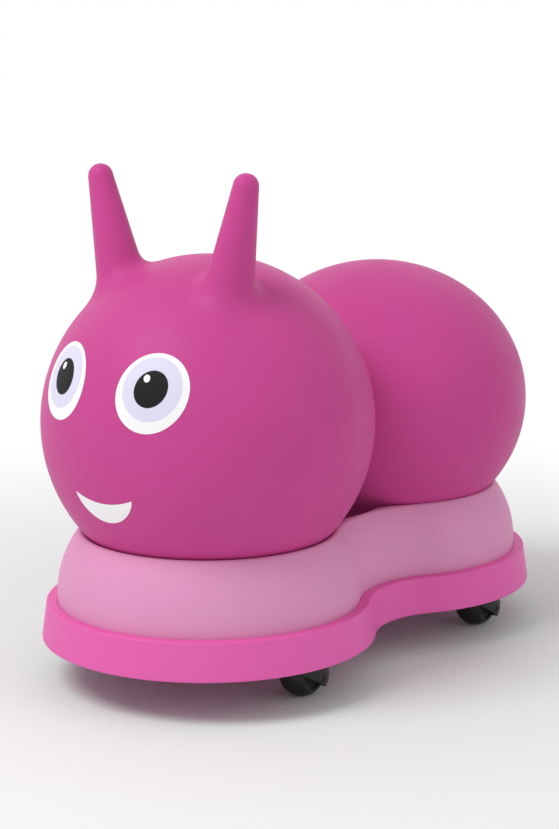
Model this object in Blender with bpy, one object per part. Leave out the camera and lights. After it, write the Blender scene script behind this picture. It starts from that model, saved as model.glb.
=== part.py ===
"""Inflatable two-ball hopper seated in a peanut-shaped tray on four ball casters.

Metres, +Z up, -Y forwards, +X the hopper's left. The origin is on the floor, midway between
the two balls. The tray's plan is two round lobes joined by a waist, one lobe under each ball.
"""
import math

import bmesh
import bpy
from mathutils import Matrix, Quaternion, Vector

# Inflatable skin
HEAD_RADIUS = 0.150
REAR_RADIUS = 0.147
REAR_HALF_HEIGHT = 0.135
BALL_SPACING = 0.257
SKIN_WALL = 0.003

# Two hollow antennas moulded on the head, their foot given from the head's centre
ANTENNA_FOOT = Vector((0.0628, -0.0445, 0.130))
ANTENNA_LEAN_OUT = math.radians(13.2)
ANTENNA_LEAN_FORWARD = math.radians(1.4)
ANTENNA_LENGTH = 0.0905
ANTENNA_FOOT_RADIUS = 0.0217
ANTENNA_TIP_RADIUS = 0.0112
ANTENNA_FILLET_HEIGHT = 0.013
ANTENNA_FILLET_WIDTH = 0.0045
ANTENNA_ROOT_DEPTH = 0.022

# Valve low on the back of the rear ball
VALVE_ANGLE = math.radians(-20)
VALVE_BORE_RADIUS = 0.0068
VALVE_COLLAR_RADIUS = 0.0105
VALVE_COLLAR_DEPTH = 0.009
PLUG_HEAD_RADIUS = 0.0105
PLUG_HEAD_HEIGHT = 0.0025
PLUG_SHANK_LENGTH = 0.013

# Printed face: places are arc lengths along the head, ellipses are centre, half sizes and tilt
EYE_AZIMUTH = math.radians(21)
EYE_ELEVATION = math.radians(19.3)
EYE_WHITE = (0.0, 0.0012, 0.0357, 0.0319, math.radians(60))
EYE_IRIS = (0.0, 0.0044, 0.0282, 0.0260, math.radians(62))
EYE_PUPIL = (-0.0006, 0.0042, 0.0166, 0.0144, math.radians(59))
EYE_GLINT = (-0.0050, 0.0130, 0.0034, 0.0029, math.radians(90))
MOUTH_AZIMUTH = math.radians(1)
MOUTH_ELEVATION = math.radians(-20)
MOUTH_HALF_WIDTH = 0.0318
MOUTH_CORNER_HEIGHT = 0.0074
MOUTH_TOP_SAG = 0.0056
MOUTH_BOTTOM_SAG = 0.0252
MOUTH_ROUNDNESS = 0.66
PRINT_THICKNESS = 0.0005

# Tray, with heights above the floor when its casters are fitted
GROUND_CLEARANCE = 0.040
BAND_HEIGHT = 0.034
SHELL_HEIGHT = 0.0637
BAND_FOOT_RADIUS = 0.1525
BAND_LEAN = 0.0045
BAND_LEDGE = 0.010
RIM_RADIUS = 0.118
BAND_WAIST = 0.080
SHELL_WAIST = 0.099
RIM_WAIST = 0.125
WALL_BULGE = 2.4
BAND_SHOULDER_ROUNDING = 0.0018
BAND_FOOT_ROUNDING = 0.0015
BAND_WALL = 0.006
SHELL_WALL = 0.004
DISH_WALL = 0.0045
RIM_ROUNDING = 0.0015
WEB_THICKNESS = 0.0037
WEB_WIDTH = 0.020

# Seat of the two balls, and the trough that joins the seat's two bowls
SEAT_DEPTH = 0.0515
SEAT_GAP = 0.0005
TROUGH_HALF_WIDTH = 0.077
TROUGH_HALF_LENGTH = 0.095
TROUGH_DEPTH = 0.030

# Openings in the dish: a round one under each ball, and others whose corners on the +X side are
# measured from the axis of the lobe they lie in
FRONT_OPENING = ((0.1004, 0.032), (0.0735, 0.1165), (0.0186, 0.1037), (0.0131, 0.060), (0.0535, 0.029))
WAIST_OPENING = ((0.073, -0.1106), (0.0995, -0.037), (0.0103, -0.0982), (0.0295, -0.1112))
REAR_OPENING = ((0.028, 0.0545), (0.0305, 0.076), (0.0365, 0.1005))
KEYHOLE_BIG = (0.0525, 0.0818, 0.0130)
KEYHOLE_SMALL = (0.0508, 0.0628, 0.0084)
CENTRE_HOLE_RADIUS = 0.0465
STEM_SLOT_LENGTH = 0.0046
STEM_SLOT_WIDTH = 0.0024
STEM_SLOT_INSET = 0.0036
STEM_SLOT_AHEAD = 0.004
STEM_SLOT_SPREAD = 0.0025

# Casters: the stem's place in from the band's foot and on from its lobe's axis, and the caster's own sizes
STEM_INSET = 0.0475
STEM_STAGGER = 0.011
FLANGE_TOP = 0.060
FLANGE_RADIUS = 0.0255
FLANGE_THICKNESS = 0.0095
FLANGE_FLOOR = 0.0075
FLANGE_BEVEL = 0.001
STEM_RADIUS = 0.0093
STEM_HEIGHT = 0.0265
STEM_BORE_RADIUS = 0.0077
POCKET_CIRCLE = 0.0165
POCKET_LENGTH = 0.0092
POCKET_WIDTH = 0.0048
POCKET_DEPTH = 0.004
POCKET_COUNT = 6
POCKET_START = math.radians(-96)
EAR_CIRCLE = 0.0272
EAR_ANGLES = (math.radians(-90), math.radians(-175), math.radians(68))
EAR_RADIUS = 0.0054
EAR_RISE = 0.0016
EAR_DROP = 0.0140
SLEEVE_RADIUS = 0.0043
SLEEVE_RISE = 0.0055
SLEEVE_BORE_RADIUS = 0.0026
PAD_RADIUS = 0.036
SOCKET_WALL = 0.0031
SOCKET_CAP = 0.002
KINGPIN_RADIUS = 0.0040
KINGPIN_HEAD_RADIUS = 0.0056
KINGPIN_HEAD_HEIGHT = 0.0018
WASHER_RADIUS = 0.015
WASHER_THICKNESS = 0.0008
WHEEL_RADIUS = 0.020
WHEEL_WIDTH = 0.028
CASTER_TRAIL = 0.0135
AXLE_RADIUS = 0.0025
AXLE_LENGTH = 0.0476
HOOD_NECK_RADIUS = 0.0212
HOOD_NECK_HEIGHT = 0.0042
HOOD_SHOULDER_RADIUS = 0.0238
HOOD_SHOULDER_DROP = 0.0006
HOOD_RADIUS = 0.0245
HOOD_CROWN = 0.0073
HOOD_CAVITY_RADIUS = 0.0215
HOOD_SKIRT_HEIGHT = 0.008
HOOD_BOSS_RADIUS = 0.0052
HOOD_CUT_HEIGHT = 0.036
HOOD_CUT_ANGLE = math.radians(29)

# Screws that hold the shell down on the base, set in from the foot of the shell's wall
SCREW_INSET = 0.0068
SCREW_ANGLE = math.radians(35)
SCREW_RADIUS = 0.0018
SCREW_LENGTH = 0.012
SCREW_HEAD_RADIUS = 0.0038
SCREW_HEAD_HEIGHT = 0.0022
POST_RADIUS = 0.0042
POST_HEIGHT = 0.0125

# Clearance between touching pieces, how far a cut runs past what it cuts, and roundness
GAP = 0.0003
OVERCUT = 0.003
BALL_STEPS = 32
LINING_STEPS = 20
LOBE_STEPS = 18
WAIST_STEPS = 5
LEVEL_STEPS = 4
PRINT_STEPS = 20
HOLE_STEPS = 22
CASTER_STEPS = 16
PIN_STEPS = 10
SMALL_STEPS = 8

# Sizes, levels and places that follow from the sizes above
BAND_SHOULDER_RADIUS = BAND_FOOT_RADIUS - BAND_LEAN
SHELL_FOOT_RADIUS = BAND_SHOULDER_RADIUS - BAND_LEDGE
SCREW_CIRCLE = SHELL_FOOT_RADIUS - SCREW_INSET
STEM_X = BAND_FOOT_RADIUS - STEM_INSET
WEB_BOTTOM = FLANGE_TOP + GAP
WEB_TOP = WEB_BOTTOM + WEB_THICKNESS
SHELL_BOTTOM = WEB_TOP + GAP
BAND_TOP = GROUND_CLEARANCE + BAND_HEIGHT
RIM_TOP = BAND_TOP + SHELL_HEIGHT
HEAD_CENTRE = Vector((0, -BALL_SPACING / 2, RIM_TOP + HEAD_RADIUS - SEAT_DEPTH))
REAR_CENTRE = Vector((0, BALL_SPACING / 2, HEAD_CENTRE.z - HEAD_RADIUS + REAR_HALF_HEIGHT))
HEAD_AXES = Vector((HEAD_RADIUS, HEAD_RADIUS, HEAD_RADIUS))
REAR_AXES = Vector((REAR_RADIUS, REAR_RADIUS, REAR_HALF_HEIGHT))
TROUGH_CENTRE = Vector((0, 0, RIM_TOP))
TROUGH_AXES = Vector((TROUGH_HALF_WIDTH, TROUGH_HALF_LENGTH, TROUGH_DEPTH))
FLANGE_BOTTOM = FLANGE_TOP - FLANGE_THICKNESS
WASHER_TOP = FLANGE_BOTTOM - GAP
HOOD_TOP = WASHER_TOP - WASHER_THICKNESS - GAP
KINGPIN_SEAT = HOOD_TOP - HOOD_CROWN
STEM_TOP = FLANGE_TOP + STEM_HEIGHT
SCREW_SEAT = WEB_BOTTOM - GAP
CORNERS = {"front_left": (1, -1), "front_right": (-1, -1), "rear_left": (1, 1), "rear_right": (-1, 1)}
MOUNT_TURNS = {"front_left": 0.0, "front_right": math.radians(190), "rear_left": math.radians(10),
               "rear_right": math.radians(190)}


def clear_scene():
    for old in list(bpy.data.objects):
        bpy.data.objects.remove(old, do_unlink=True)


def plastic(name, colour, roughness, metallic=0.0):
    material = bpy.data.materials.new(name)
    material.use_nodes = True
    shader = material.node_tree.nodes["Principled BSDF"]
    shader.inputs["Base Color"].default_value = (*colour, 1)
    shader.inputs["Roughness"].default_value = roughness
    shader.inputs["Metallic"].default_value = metallic
    material.diffuse_color = (*colour, 1)
    return material


def object_from(bm, name):
    bmesh.ops.recalc_face_normals(bm, faces=bm.faces)
    mesh = bpy.data.meshes.new(name)
    bm.to_mesh(mesh)
    bm.free()
    made = bpy.data.objects.new(name, mesh)
    bpy.context.scene.collection.objects.link(made)
    return made


def carved(body, *steps):
    """Returns body after Boolean steps worked in turn, each an (operation, tool) pair."""
    whole = object_from(body, "body")
    tools = []
    for operation, tool in steps:
        tools.append(object_from(tool, "tool"))
        boolean = whole.modifiers.new(operation, "BOOLEAN")
        boolean.operation = operation
        boolean.solver = "EXACT"
        boolean.object = tools[-1]
    evaluated = whole.evaluated_get(bpy.context.evaluated_depsgraph_get())
    result = bmesh.new()
    result.from_mesh(evaluated.to_mesh())
    evaluated.to_mesh_clear()
    for used in (whole, *tools):
        mesh = used.data
        bpy.data.objects.remove(used)
        bpy.data.meshes.remove(mesh)
    return result


def add_piece(name, bm, material, parent=None, place=None):
    """Makes a named piece, shaded smooth except across edges of over 35 degrees."""
    piece = object_from(bm, name)
    piece.data.shade_smooth()
    piece.data.set_sharp_from_angle(angle=math.radians(35))
    piece.data.materials.append(material)
    piece.parent = parent
    if place:
        piece.matrix_local = place
    return piece


def add_empty(name, place):
    empty = bpy.data.objects.new(name, None)
    bpy.context.scene.collection.objects.link(empty)
    empty.location = place
    return empty


def join_rings(bm, rings):
    """Joins rings of equal point counts into one closed body, with flat caps at both ends."""
    rows = [[bm.verts.new(point) for point in ring] for ring in rings]
    for lower, upper in zip(rows, rows[1:]):
        for index in range(len(lower)):
            after = (index + 1) % len(lower)
            bm.faces.new((lower[index], lower[after], upper[after], upper[index]))
    bm.faces.new(rows[0][::-1])
    bm.faces.new(rows[-1])


def circle(centre_x, centre_y, radius, z, steps):
    angles = [2 * math.pi * step / steps for step in range(steps)]
    return [(centre_x + radius * math.cos(a), centre_y + radius * math.sin(a), z) for a in angles]


def level(outline, z):
    return [(x, y, z) for x, y in outline]


def add_prism(bm, outline, bottom, top):
    join_rings(bm, [level(outline, bottom), level(outline, top)])


def add_rod(bm, centre, radius, bottom, top, steps=PIN_STEPS):
    join_rings(bm, [circle(*centre, radius, z, steps) for z in (bottom, top)])


def rods(centres, radius, bottom, top, steps=PIN_STEPS):
    bm = bmesh.new()
    for centre in centres:
        add_rod(bm, centre, radius, bottom, top, steps)
    return bm


def turned(profile, steps):
    """Turns a closed outline of (radius, height) points, clear of the axis, about Z."""
    bm = bmesh.new()
    columns = []
    for step in range(steps):
        angle = 2 * math.pi * step / steps
        across = Vector((math.cos(angle), math.sin(angle), 0))
        columns.append([bm.verts.new(across * radius + Vector((0, 0, z))) for radius, z in profile])
    for step in range(steps):
        here = columns[step]
        there = columns[(step + 1) % steps]
        for index in range(len(profile)):
            after = (index + 1) % len(profile)
            bm.faces.new((here[index], there[index], there[after], here[after]))
    return bm


def turned_solid(profile, steps):
    """Turns an open outline of (radius, height) points about Z and caps both its ends."""
    bm = bmesh.new()
    join_rings(bm, [circle(0, 0, radius, z, steps) for radius, z in profile])
    return bm


def moved(bm, matrix):
    bmesh.ops.transform(bm, matrix=matrix, verts=bm.verts)
    return bm


def ball(centre, axes, growth, steps):
    bm = bmesh.new()
    bmesh.ops.create_uvsphere(bm, u_segments=steps, v_segments=steps // 2, radius=1)
    grown = axes + Vector((growth, growth, growth))
    return moved(bm, Matrix.Translation(centre) @ Matrix.Diagonal((*grown, 1)))


def arc(centre_x, centre_y, radius, start, sweep, steps):
    angles = [start + sweep * step / steps for step in range(steps + 1)]
    return [(centre_x + radius * math.cos(a), centre_y + radius * math.sin(a)) for a in angles]


def waist_centre(radius, waist):
    """How far out the hollow arc at a waist has its centre, so that it runs on smoothly into the lobes."""
    return math.sqrt((radius + waist) ** 2 - (BALL_SPACING / 2) ** 2)


def peanut(radius, waist, inset=0.0):
    """Plan of the tray: a round lobe about each ball, joined at each side by a hollow arc."""
    lobe = radius - inset
    hollow = waist + inset
    half = BALL_SPACING / 2
    waist_x = waist_centre(lobe, hollow)
    reach = math.atan2(half, waist_x)
    round_sweep = math.pi + 2 * reach
    points = arc(0, -half, lobe, math.pi - reach, round_sweep, LOBE_STEPS)
    points += arc(waist_x, 0, hollow, math.pi + reach, -2 * reach, WAIST_STEPS)[1:-1]
    points += arc(0, half, lobe, -reach, round_sweep, LOBE_STEPS)
    points += arc(-waist_x, 0, hollow, reach, -2 * reach, WAIST_STEPS)[1:-1]
    return points


def shell_outline(z, inset=0.0):
    share = max(0.0, (z - BAND_TOP) / SHELL_HEIGHT)
    radius = SHELL_FOOT_RADIUS - (SHELL_FOOT_RADIUS - RIM_RADIUS) * share ** WALL_BULGE
    waist = SHELL_WAIST + (RIM_WAIST - SHELL_WAIST) * share
    return peanut(radius, waist, inset)


def shell_body(bottom, top, inset, top_rounding=0.0):
    upper = top - top_rounding
    heights = [BAND_TOP + (upper - BAND_TOP) * step / LEVEL_STEPS for step in range(LEVEL_STEPS + 1)]
    rings = [level(shell_outline(z, inset), z) for z in (bottom, *heights)]
    if top_rounding:
        rings.append(level(shell_outline(top, inset + top_rounding), top))
    bm = bmesh.new()
    join_rings(bm, rings)
    return bm


def band_outline(z, inset=0.0):
    share = (z - GROUND_CLEARANCE) / (BAND_HEIGHT - BAND_SHOULDER_ROUNDING)
    return peanut(BAND_FOOT_RADIUS, BAND_WAIST, inset + BAND_LEAN * share)


def stem_places():
    half = BALL_SPACING / 2
    return [(x * STEM_X, y * (half + STEM_STAGGER)) for x, y in CORNERS.values()]


def ear_offsets(turn):
    return [(EAR_CIRCLE * math.cos(a + turn), EAR_CIRCLE * math.sin(a + turn)) for a in EAR_ANGLES]


def ear_places():
    places = []
    for (stem_x, stem_y), turn in zip(stem_places(), MOUNT_TURNS.values()):
        places += [(stem_x + x, stem_y + y) for x, y in ear_offsets(turn)]
    return places


def screw_places():
    waist_x = waist_centre(SHELL_FOOT_RADIUS, SHELL_WAIST) - SHELL_WAIST - SCREW_INSET
    places = [(waist_x, 0), (-waist_x, 0)]
    for end in (-1, 1):
        for side in (-1, 1):
            x = side * SCREW_CIRCLE * math.sin(SCREW_ANGLE)
            y = end * (BALL_SPACING / 2 + SCREW_CIRCLE * math.cos(SCREW_ANGLE))
            places.append((x, y))
    return places


def antenna_place(side):
    lean = Matrix.Rotation(ANTENNA_LEAN_FORWARD, 4, "X") @ Matrix.Rotation(side * ANTENNA_LEAN_OUT, 4, "Y")
    foot = HEAD_CENTRE + Vector((side * ANTENNA_FOOT.x, ANTENNA_FOOT.y, ANTENNA_FOOT.z))
    return Matrix.Translation(foot) @ lean


def antenna(side, inset, steps):
    """Tapered antenna with a round tip, whose flared foot lies square on the head."""
    place = antenna_place(side)
    outward = place.to_3x3().inverted() @ (place.translation - HEAD_CENTRE).normalized()
    square_on_head = Vector((0, 0, 1)).rotation_difference(outward)
    taper = (ANTENNA_FOOT_RADIUS - ANTENNA_TIP_RADIUS) / ANTENNA_LENGTH
    foot = ANTENNA_FOOT_RADIUS + ANTENNA_FILLET_WIDTH
    sink = foot ** 2 / (2 * HEAD_RADIUS)
    profile = [(foot - ANTENNA_FILLET_WIDTH, -ANTENNA_ROOT_DEPTH), (foot, -sink)]
    for along in (0.3 * ANTENNA_FILLET_HEIGHT, ANTENNA_FILLET_HEIGHT, ANTENNA_LENGTH):
        flare = max(0.0, 1 - along / ANTENNA_FILLET_HEIGHT) ** 2
        profile.append((ANTENNA_FOOT_RADIUS - taper * along + ANTENNA_FILLET_WIDTH * flare, along))
    for bend in (math.radians(30), math.radians(55), math.radians(78)):
        radius = ANTENNA_TIP_RADIUS - inset
        height = ANTENNA_LENGTH + radius * math.sin(bend)
        profile.append((radius * math.cos(bend) + inset, height))
    rings = []
    for radius, along in profile:
        lean = min(1.0, max(0.0, 1 - along / ANTENNA_FILLET_HEIGHT))
        tilt = Quaternion().slerp(square_on_head, lean)
        middle = outward * along if along < 0 else Vector((0, 0, along))
        rings.append([middle + tilt @ Vector(point) for point in circle(0, 0, radius - inset, 0, steps)])
    bm = bmesh.new()
    join_rings(bm, rings)
    return moved(bm, place)


def valve_place():
    """Place on the rear ball's surface, with Z along the way that the plug pulls out."""
    point = Vector((0, REAR_RADIUS * math.cos(VALVE_ANGLE), REAR_HALF_HEIGHT * math.sin(VALVE_ANGLE)))
    normal = Vector((0, point.y / REAR_RADIUS ** 2, point.z / REAR_HALF_HEIGHT ** 2)).normalized()
    return Matrix.Translation(REAR_CENTRE + point) @ normal.to_track_quat("Z", "Y").to_matrix().to_4x4()


def make_skin(material, parent):
    """One moulded skin: head, rear ball and antennas, hollow, with the valve's bore through it."""
    lining = carved(
        ball(HEAD_CENTRE, HEAD_AXES, -SKIN_WALL, LINING_STEPS),
        ("UNION", ball(REAR_CENTRE, REAR_AXES, -SKIN_WALL, LINING_STEPS)),
        ("UNION", antenna(1, SKIN_WALL, PIN_STEPS)),
        ("UNION", antenna(-1, SKIN_WALL, PIN_STEPS)),
    )
    centre = [(0, 0)]
    collar = rods(centre, VALVE_COLLAR_RADIUS, -VALVE_COLLAR_DEPTH, -SKIN_WALL / 2, CASTER_STEPS)
    bore = rods(centre, VALVE_BORE_RADIUS, -VALVE_COLLAR_DEPTH - OVERCUT, OVERCUT, CASTER_STEPS)
    skin = carved(
        ball(HEAD_CENTRE, HEAD_AXES, 0, BALL_STEPS),
        ("UNION", ball(REAR_CENTRE, REAR_AXES, 0, BALL_STEPS)),
        ("UNION", antenna(1, 0, CASTER_STEPS)),
        ("UNION", antenna(-1, 0, CASTER_STEPS)),
        ("DIFFERENCE", lining),
        ("UNION", moved(collar, valve_place())),
        ("DIFFERENCE", moved(bore, valve_place())),
    )
    add_piece("hopper_skin", skin, material, parent)


def make_valve_plug(material, parent):
    shank = VALVE_BORE_RADIUS - GAP
    profile = [
        (shank * 0.75, -PLUG_SHANK_LENGTH),
        (shank, -PLUG_SHANK_LENGTH * 0.8),
        (shank, GAP),
        (PLUG_HEAD_RADIUS, GAP),
        (PLUG_HEAD_RADIUS, PLUG_HEAD_HEIGHT * 0.6),
        (PLUG_HEAD_RADIUS * 0.8, PLUG_HEAD_HEIGHT),
    ]
    add_piece("valve_plug", turned_solid(profile, CASTER_STEPS), material, parent, valve_place())


def head_point(azimuth, elevation, across, upward, height):
    """Point over the head, an arc of the given lengths away from a place on its surface."""
    facing = Vector((math.sin(azimuth), -math.cos(azimuth), 0)) * math.cos(elevation)
    facing.z = math.sin(elevation)
    right = Vector((math.cos(azimuth), math.sin(azimuth), 0))
    away = right * across + facing.cross(-right) * -upward
    bend = away.length / HEAD_RADIUS
    direction = facing * math.cos(bend) + away.normalized() * math.sin(bend)
    return HEAD_CENTRE + direction * (HEAD_RADIUS + height)


def add_print(name, azimuth, elevation, rows, ring, material, parent):
    """Thin closed layer on the head, from rows of flat points that are rings or open strips."""
    bm = bmesh.new()
    sheets = []
    for height in (GAP, GAP + PRINT_THICKNESS):
        sheets.append([[
            bm.verts.new(head_point(azimuth, elevation, u, v, height)) for u, v in row
        ] for row in rows])
    inner, outer = sheets
    count = len(rows[0])
    steps = range(count if ring else count - 1)
    for sheet in sheets:
        for near, far in zip(sheet, sheet[1:]):
            for index in steps:
                after = (index + 1) % count
                bm.faces.new((near[index], near[after], far[after], far[index]))
    for edge in (0, -1):
        if rows[edge][0] == rows[edge][1]:
            continue
        for index in steps:
            after = (index + 1) % count
            bm.faces.new((inner[edge][index], inner[edge][after], outer[edge][after], outer[edge][index]))
    bmesh.ops.remove_doubles(bm, verts=bm.verts, dist=1e-6)
    add_piece(name, bm, material, parent)


def ellipse(shape, growth=0.0):
    centre_u, centre_v, long_half, short_half, tilt = shape
    points = []
    for step in range(PRINT_STEPS):
        angle = 2 * math.pi * step / PRINT_STEPS - tilt
        along = (long_half + growth) * math.cos(angle)
        across = (short_half + growth) * math.sin(angle)
        u = centre_u + along * math.cos(tilt) - across * math.sin(tilt)
        v = centre_v + along * math.sin(tilt) + across * math.cos(tilt)
        points.append((u, v))
    return points


def mirrored(shape):
    centre_u, centre_v, long_half, short_half, tilt = shape
    return (-centre_u, centre_v, long_half, short_half, math.pi - tilt)


def blend_rows(outer, inner, count):
    rows = []
    for row in range(count + 1):
        share = row / count
        rows.append([
            (a[0] + (b[0] - a[0]) * share, a[1] + (b[1] - a[1]) * share) for a, b in zip(outer, inner)
        ])
    return rows


def make_eye(side_name, side, colours, parent):
    """Inlaid white, iris, pupil and glint, each with a hole for the next. The glint isn't mirrored."""
    shapes = [shape if side > 0 else mirrored(shape) for shape in (EYE_WHITE, EYE_IRIS, EYE_PUPIL)]
    shapes.append(EYE_GLINT)
    layers = ("white", "iris", "pupil", "glint")
    for index, layer in enumerate(layers):
        if layer == "glint":
            inner = [EYE_GLINT[:2]] * PRINT_STEPS
        else:
            inner = ellipse(shapes[index + 1], GAP)
        rows = blend_rows(ellipse(shapes[index]), inner, 1)
        name = f"{side_name}_eye_{layer}"
        add_print(name, side * EYE_AZIMUTH, EYE_ELEVATION, rows, True, colours[layer], parent)


def make_mouth(material, parent):
    """Smiling crescent between a shallow upper curve and a deep lower one."""
    upper = []
    lower = []
    for step in range(PRINT_STEPS // 2 + 1):
        share = -math.cos(2 * math.pi * step / PRINT_STEPS)
        depth = max(0.0, 1 - share * share)
        upper.append((share * MOUTH_HALF_WIDTH, MOUTH_CORNER_HEIGHT - MOUTH_TOP_SAG * depth))
        bottom = MOUTH_CORNER_HEIGHT - MOUTH_BOTTOM_SAG * depth ** MOUTH_ROUNDNESS
        lower.append((share * MOUTH_HALF_WIDTH, bottom))
    rows = blend_rows(upper, lower, 2)
    add_print("mouth_print", MOUTH_AZIMUTH, MOUTH_ELEVATION, rows, False, material, parent)


def add_both_sides(bm, outline, lobe_y, bottom, top):
    for side in (1, -1):
        add_prism(bm, [(side * x, lobe_y + y) for x, y in outline], bottom, top)


def dish_openings():
    half = BALL_SPACING / 2
    bottom = BAND_TOP
    top = RIM_TOP + OVERCUT
    bm = bmesh.new()
    add_both_sides(bm, FRONT_OPENING, -half, bottom, top)
    add_both_sides(bm, WAIST_OPENING, half, bottom, top)
    right = [(x, half + y) for x, y in REAR_OPENING]
    add_prism(bm, right + [(-x, y) for x, y in reversed(right)], bottom, top)
    x, y, radius = KEYHOLE_BIG
    for side in (1, -1):
        add_rod(bm, (side * x, half + y), radius, bottom, top, CASTER_STEPS)
        add_rod(bm, (0, side * half), CENTRE_HOLE_RADIUS, bottom, top, HOLE_STEPS)
    for x, y in stem_places():
        across = STEM_SLOT_LENGTH / 2
        along = STEM_SLOT_WIDTH / 2
        inner = x - math.copysign(STEM_SLOT_INSET, x)
        ahead = y - STEM_SLOT_AHEAD + math.copysign(STEM_SLOT_SPREAD, y)
        slot = [(inner - across, ahead - along), (inner + across, ahead - along)]
        slot += [(inner + across, ahead + along), (inner - across, ahead + along)]
        add_prism(bm, slot, STEM_TOP + SOCKET_CAP + OVERCUT, top)
    return bm


def make_tray_shell(material):
    """Upper shell: an outer wall rolled over a rim into a dish with two bowls and a trough."""
    back = SEAT_GAP + DISH_WALL
    cavity = carved(
        shell_body(SHELL_BOTTOM - OVERCUT, RIM_TOP - SHELL_WALL, SHELL_WALL),
        ("DIFFERENCE", ball(HEAD_CENTRE, HEAD_AXES, back, BALL_STEPS)),
        ("DIFFERENCE", ball(REAR_CENTRE, REAR_AXES, back, BALL_STEPS)),
        ("DIFFERENCE", ball(TROUGH_CENTRE, TROUGH_AXES, DISH_WALL, LINING_STEPS)),
    )
    small_x, small_y, small_radius = KEYHOLE_SMALL
    small_keyholes = [(side * small_x, BALL_SPACING / 2 + small_y) for side in (1, -1)]
    post_bore = SCREW_RADIUS + GAP
    post_bore_top = SCREW_SEAT + SCREW_LENGTH + OVERCUT
    shell = carved(
        shell_body(SHELL_BOTTOM, RIM_TOP, 0, RIM_ROUNDING),
        ("DIFFERENCE", ball(HEAD_CENTRE, HEAD_AXES, SEAT_GAP, BALL_STEPS)),
        ("DIFFERENCE", ball(REAR_CENTRE, REAR_AXES, SEAT_GAP, BALL_STEPS)),
        ("DIFFERENCE", ball(TROUGH_CENTRE, TROUGH_AXES, 0, LINING_STEPS)),
        ("DIFFERENCE", cavity),
        ("DIFFERENCE", dish_openings()),
        ("DIFFERENCE", rods(small_keyholes, small_radius, BAND_TOP, RIM_TOP + OVERCUT)),
        ("UNION", rods(screw_places(), POST_RADIUS, SHELL_BOTTOM + GAP, SHELL_BOTTOM + POST_HEIGHT)),
        ("DIFFERENCE", rods(screw_places(), post_bore, SHELL_BOTTOM - OVERCUT, post_bore_top)),
    )
    add_piece("tray_shell", shell, material)


def make_bumper_base(material):
    """Lower frame: the bumper band, a web that carries the shell, and the caster sockets."""
    shoulder = BAND_TOP - BAND_SHOULDER_ROUNDING
    half_round = BAND_SHOULDER_ROUNDING * (1 - math.sqrt(0.5))
    body = bmesh.new()
    join_rings(body, [
        level(band_outline(GROUND_CLEARANCE, BAND_FOOT_ROUNDING), GROUND_CLEARANCE),
        level(band_outline(GROUND_CLEARANCE + BAND_FOOT_ROUNDING), GROUND_CLEARANCE + BAND_FOOT_ROUNDING),
        level(band_outline(shoulder), shoulder),
        level(band_outline(shoulder, half_round), BAND_TOP - half_round),
        level(band_outline(shoulder, BAND_SHOULDER_ROUNDING), BAND_TOP),
    ])
    under = bmesh.new()
    below = GROUND_CLEARANCE - OVERCUT
    join_rings(under, [level(band_outline(z, BAND_WALL), z) for z in (below, WEB_BOTTOM)])
    pocket = bmesh.new()
    add_prism(pocket, shell_outline(BAND_TOP, -GAP), WEB_TOP, BAND_TOP + OVERCUT)
    middle = bmesh.new()
    add_prism(middle, shell_outline(BAND_TOP, WEB_WIDTH), WEB_BOTTOM - OVERCUT, WEB_TOP + OVERCUT)
    pads = rods(stem_places(), PAD_RADIUS, WEB_BOTTOM - 2 * OVERCUT, WEB_TOP + 2 * OVERCUT, CASTER_STEPS)
    socket_bore = STEM_RADIUS + GAP
    socket_radius = socket_bore + SOCKET_WALL
    socket_top = STEM_TOP + GAP
    web_middle = WEB_BOTTOM + WEB_THICKNESS / 2
    web_span = (WEB_BOTTOM - OVERCUT, WEB_TOP + OVERCUT)
    base = carved(
        body,
        ("DIFFERENCE", under),
        ("DIFFERENCE", pocket),
        ("DIFFERENCE", carved(middle, ("DIFFERENCE", pads))),
        ("UNION", rods(stem_places(), socket_radius, web_middle, socket_top + SOCKET_CAP, CASTER_STEPS)),
        ("DIFFERENCE", rods(stem_places(), socket_bore, WEB_BOTTOM - OVERCUT, socket_top, CASTER_STEPS)),
        ("DIFFERENCE", rods(ear_places(), EAR_RADIUS + GAP, *web_span, SMALL_STEPS)),
        ("DIFFERENCE", rods(screw_places(), SCREW_RADIUS + GAP, *web_span)),
    )
    add_piece("bumper_base", base, material)


def make_tray_screws(material):
    """Pan-head screws driven up through the web into the shell's posts."""
    crown = SCREW_SEAT - SCREW_HEAD_HEIGHT
    profile = [
        (SCREW_HEAD_RADIUS * 0.7, crown),
        (SCREW_HEAD_RADIUS, crown + SCREW_HEAD_HEIGHT * 0.4),
        (SCREW_HEAD_RADIUS, SCREW_SEAT),
        (SCREW_RADIUS, SCREW_SEAT),
        (SCREW_RADIUS, SCREW_SEAT + SCREW_LENGTH * 0.85),
        (SCREW_RADIUS * 0.4, SCREW_SEAT + SCREW_LENGTH),
    ]
    for number, (x, y) in enumerate(screw_places(), 1):
        place = Matrix.Translation((x, y, 0))
        add_piece(f"tray_screw_{number}", turned_solid(profile, SMALL_STEPS), material, None, place)


def pockets():
    """Oval pockets sunk in the top of a caster's flange, long ways round the stem."""
    bm = bmesh.new()
    for index in range(POCKET_COUNT):
        turn = Matrix.Rotation(POCKET_START + 2 * math.pi * index / POCKET_COUNT, 2)
        oval = []
        for x, y, _ in circle(0, 0, 0.5, 0, SMALL_STEPS):
            oval.append(turn @ Vector((POCKET_CIRCLE + x * POCKET_WIDTH, y * POCKET_LENGTH)))
        add_prism(bm, oval, FLANGE_TOP - POCKET_DEPTH, FLANGE_TOP + OVERCUT)
    return bm


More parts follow.
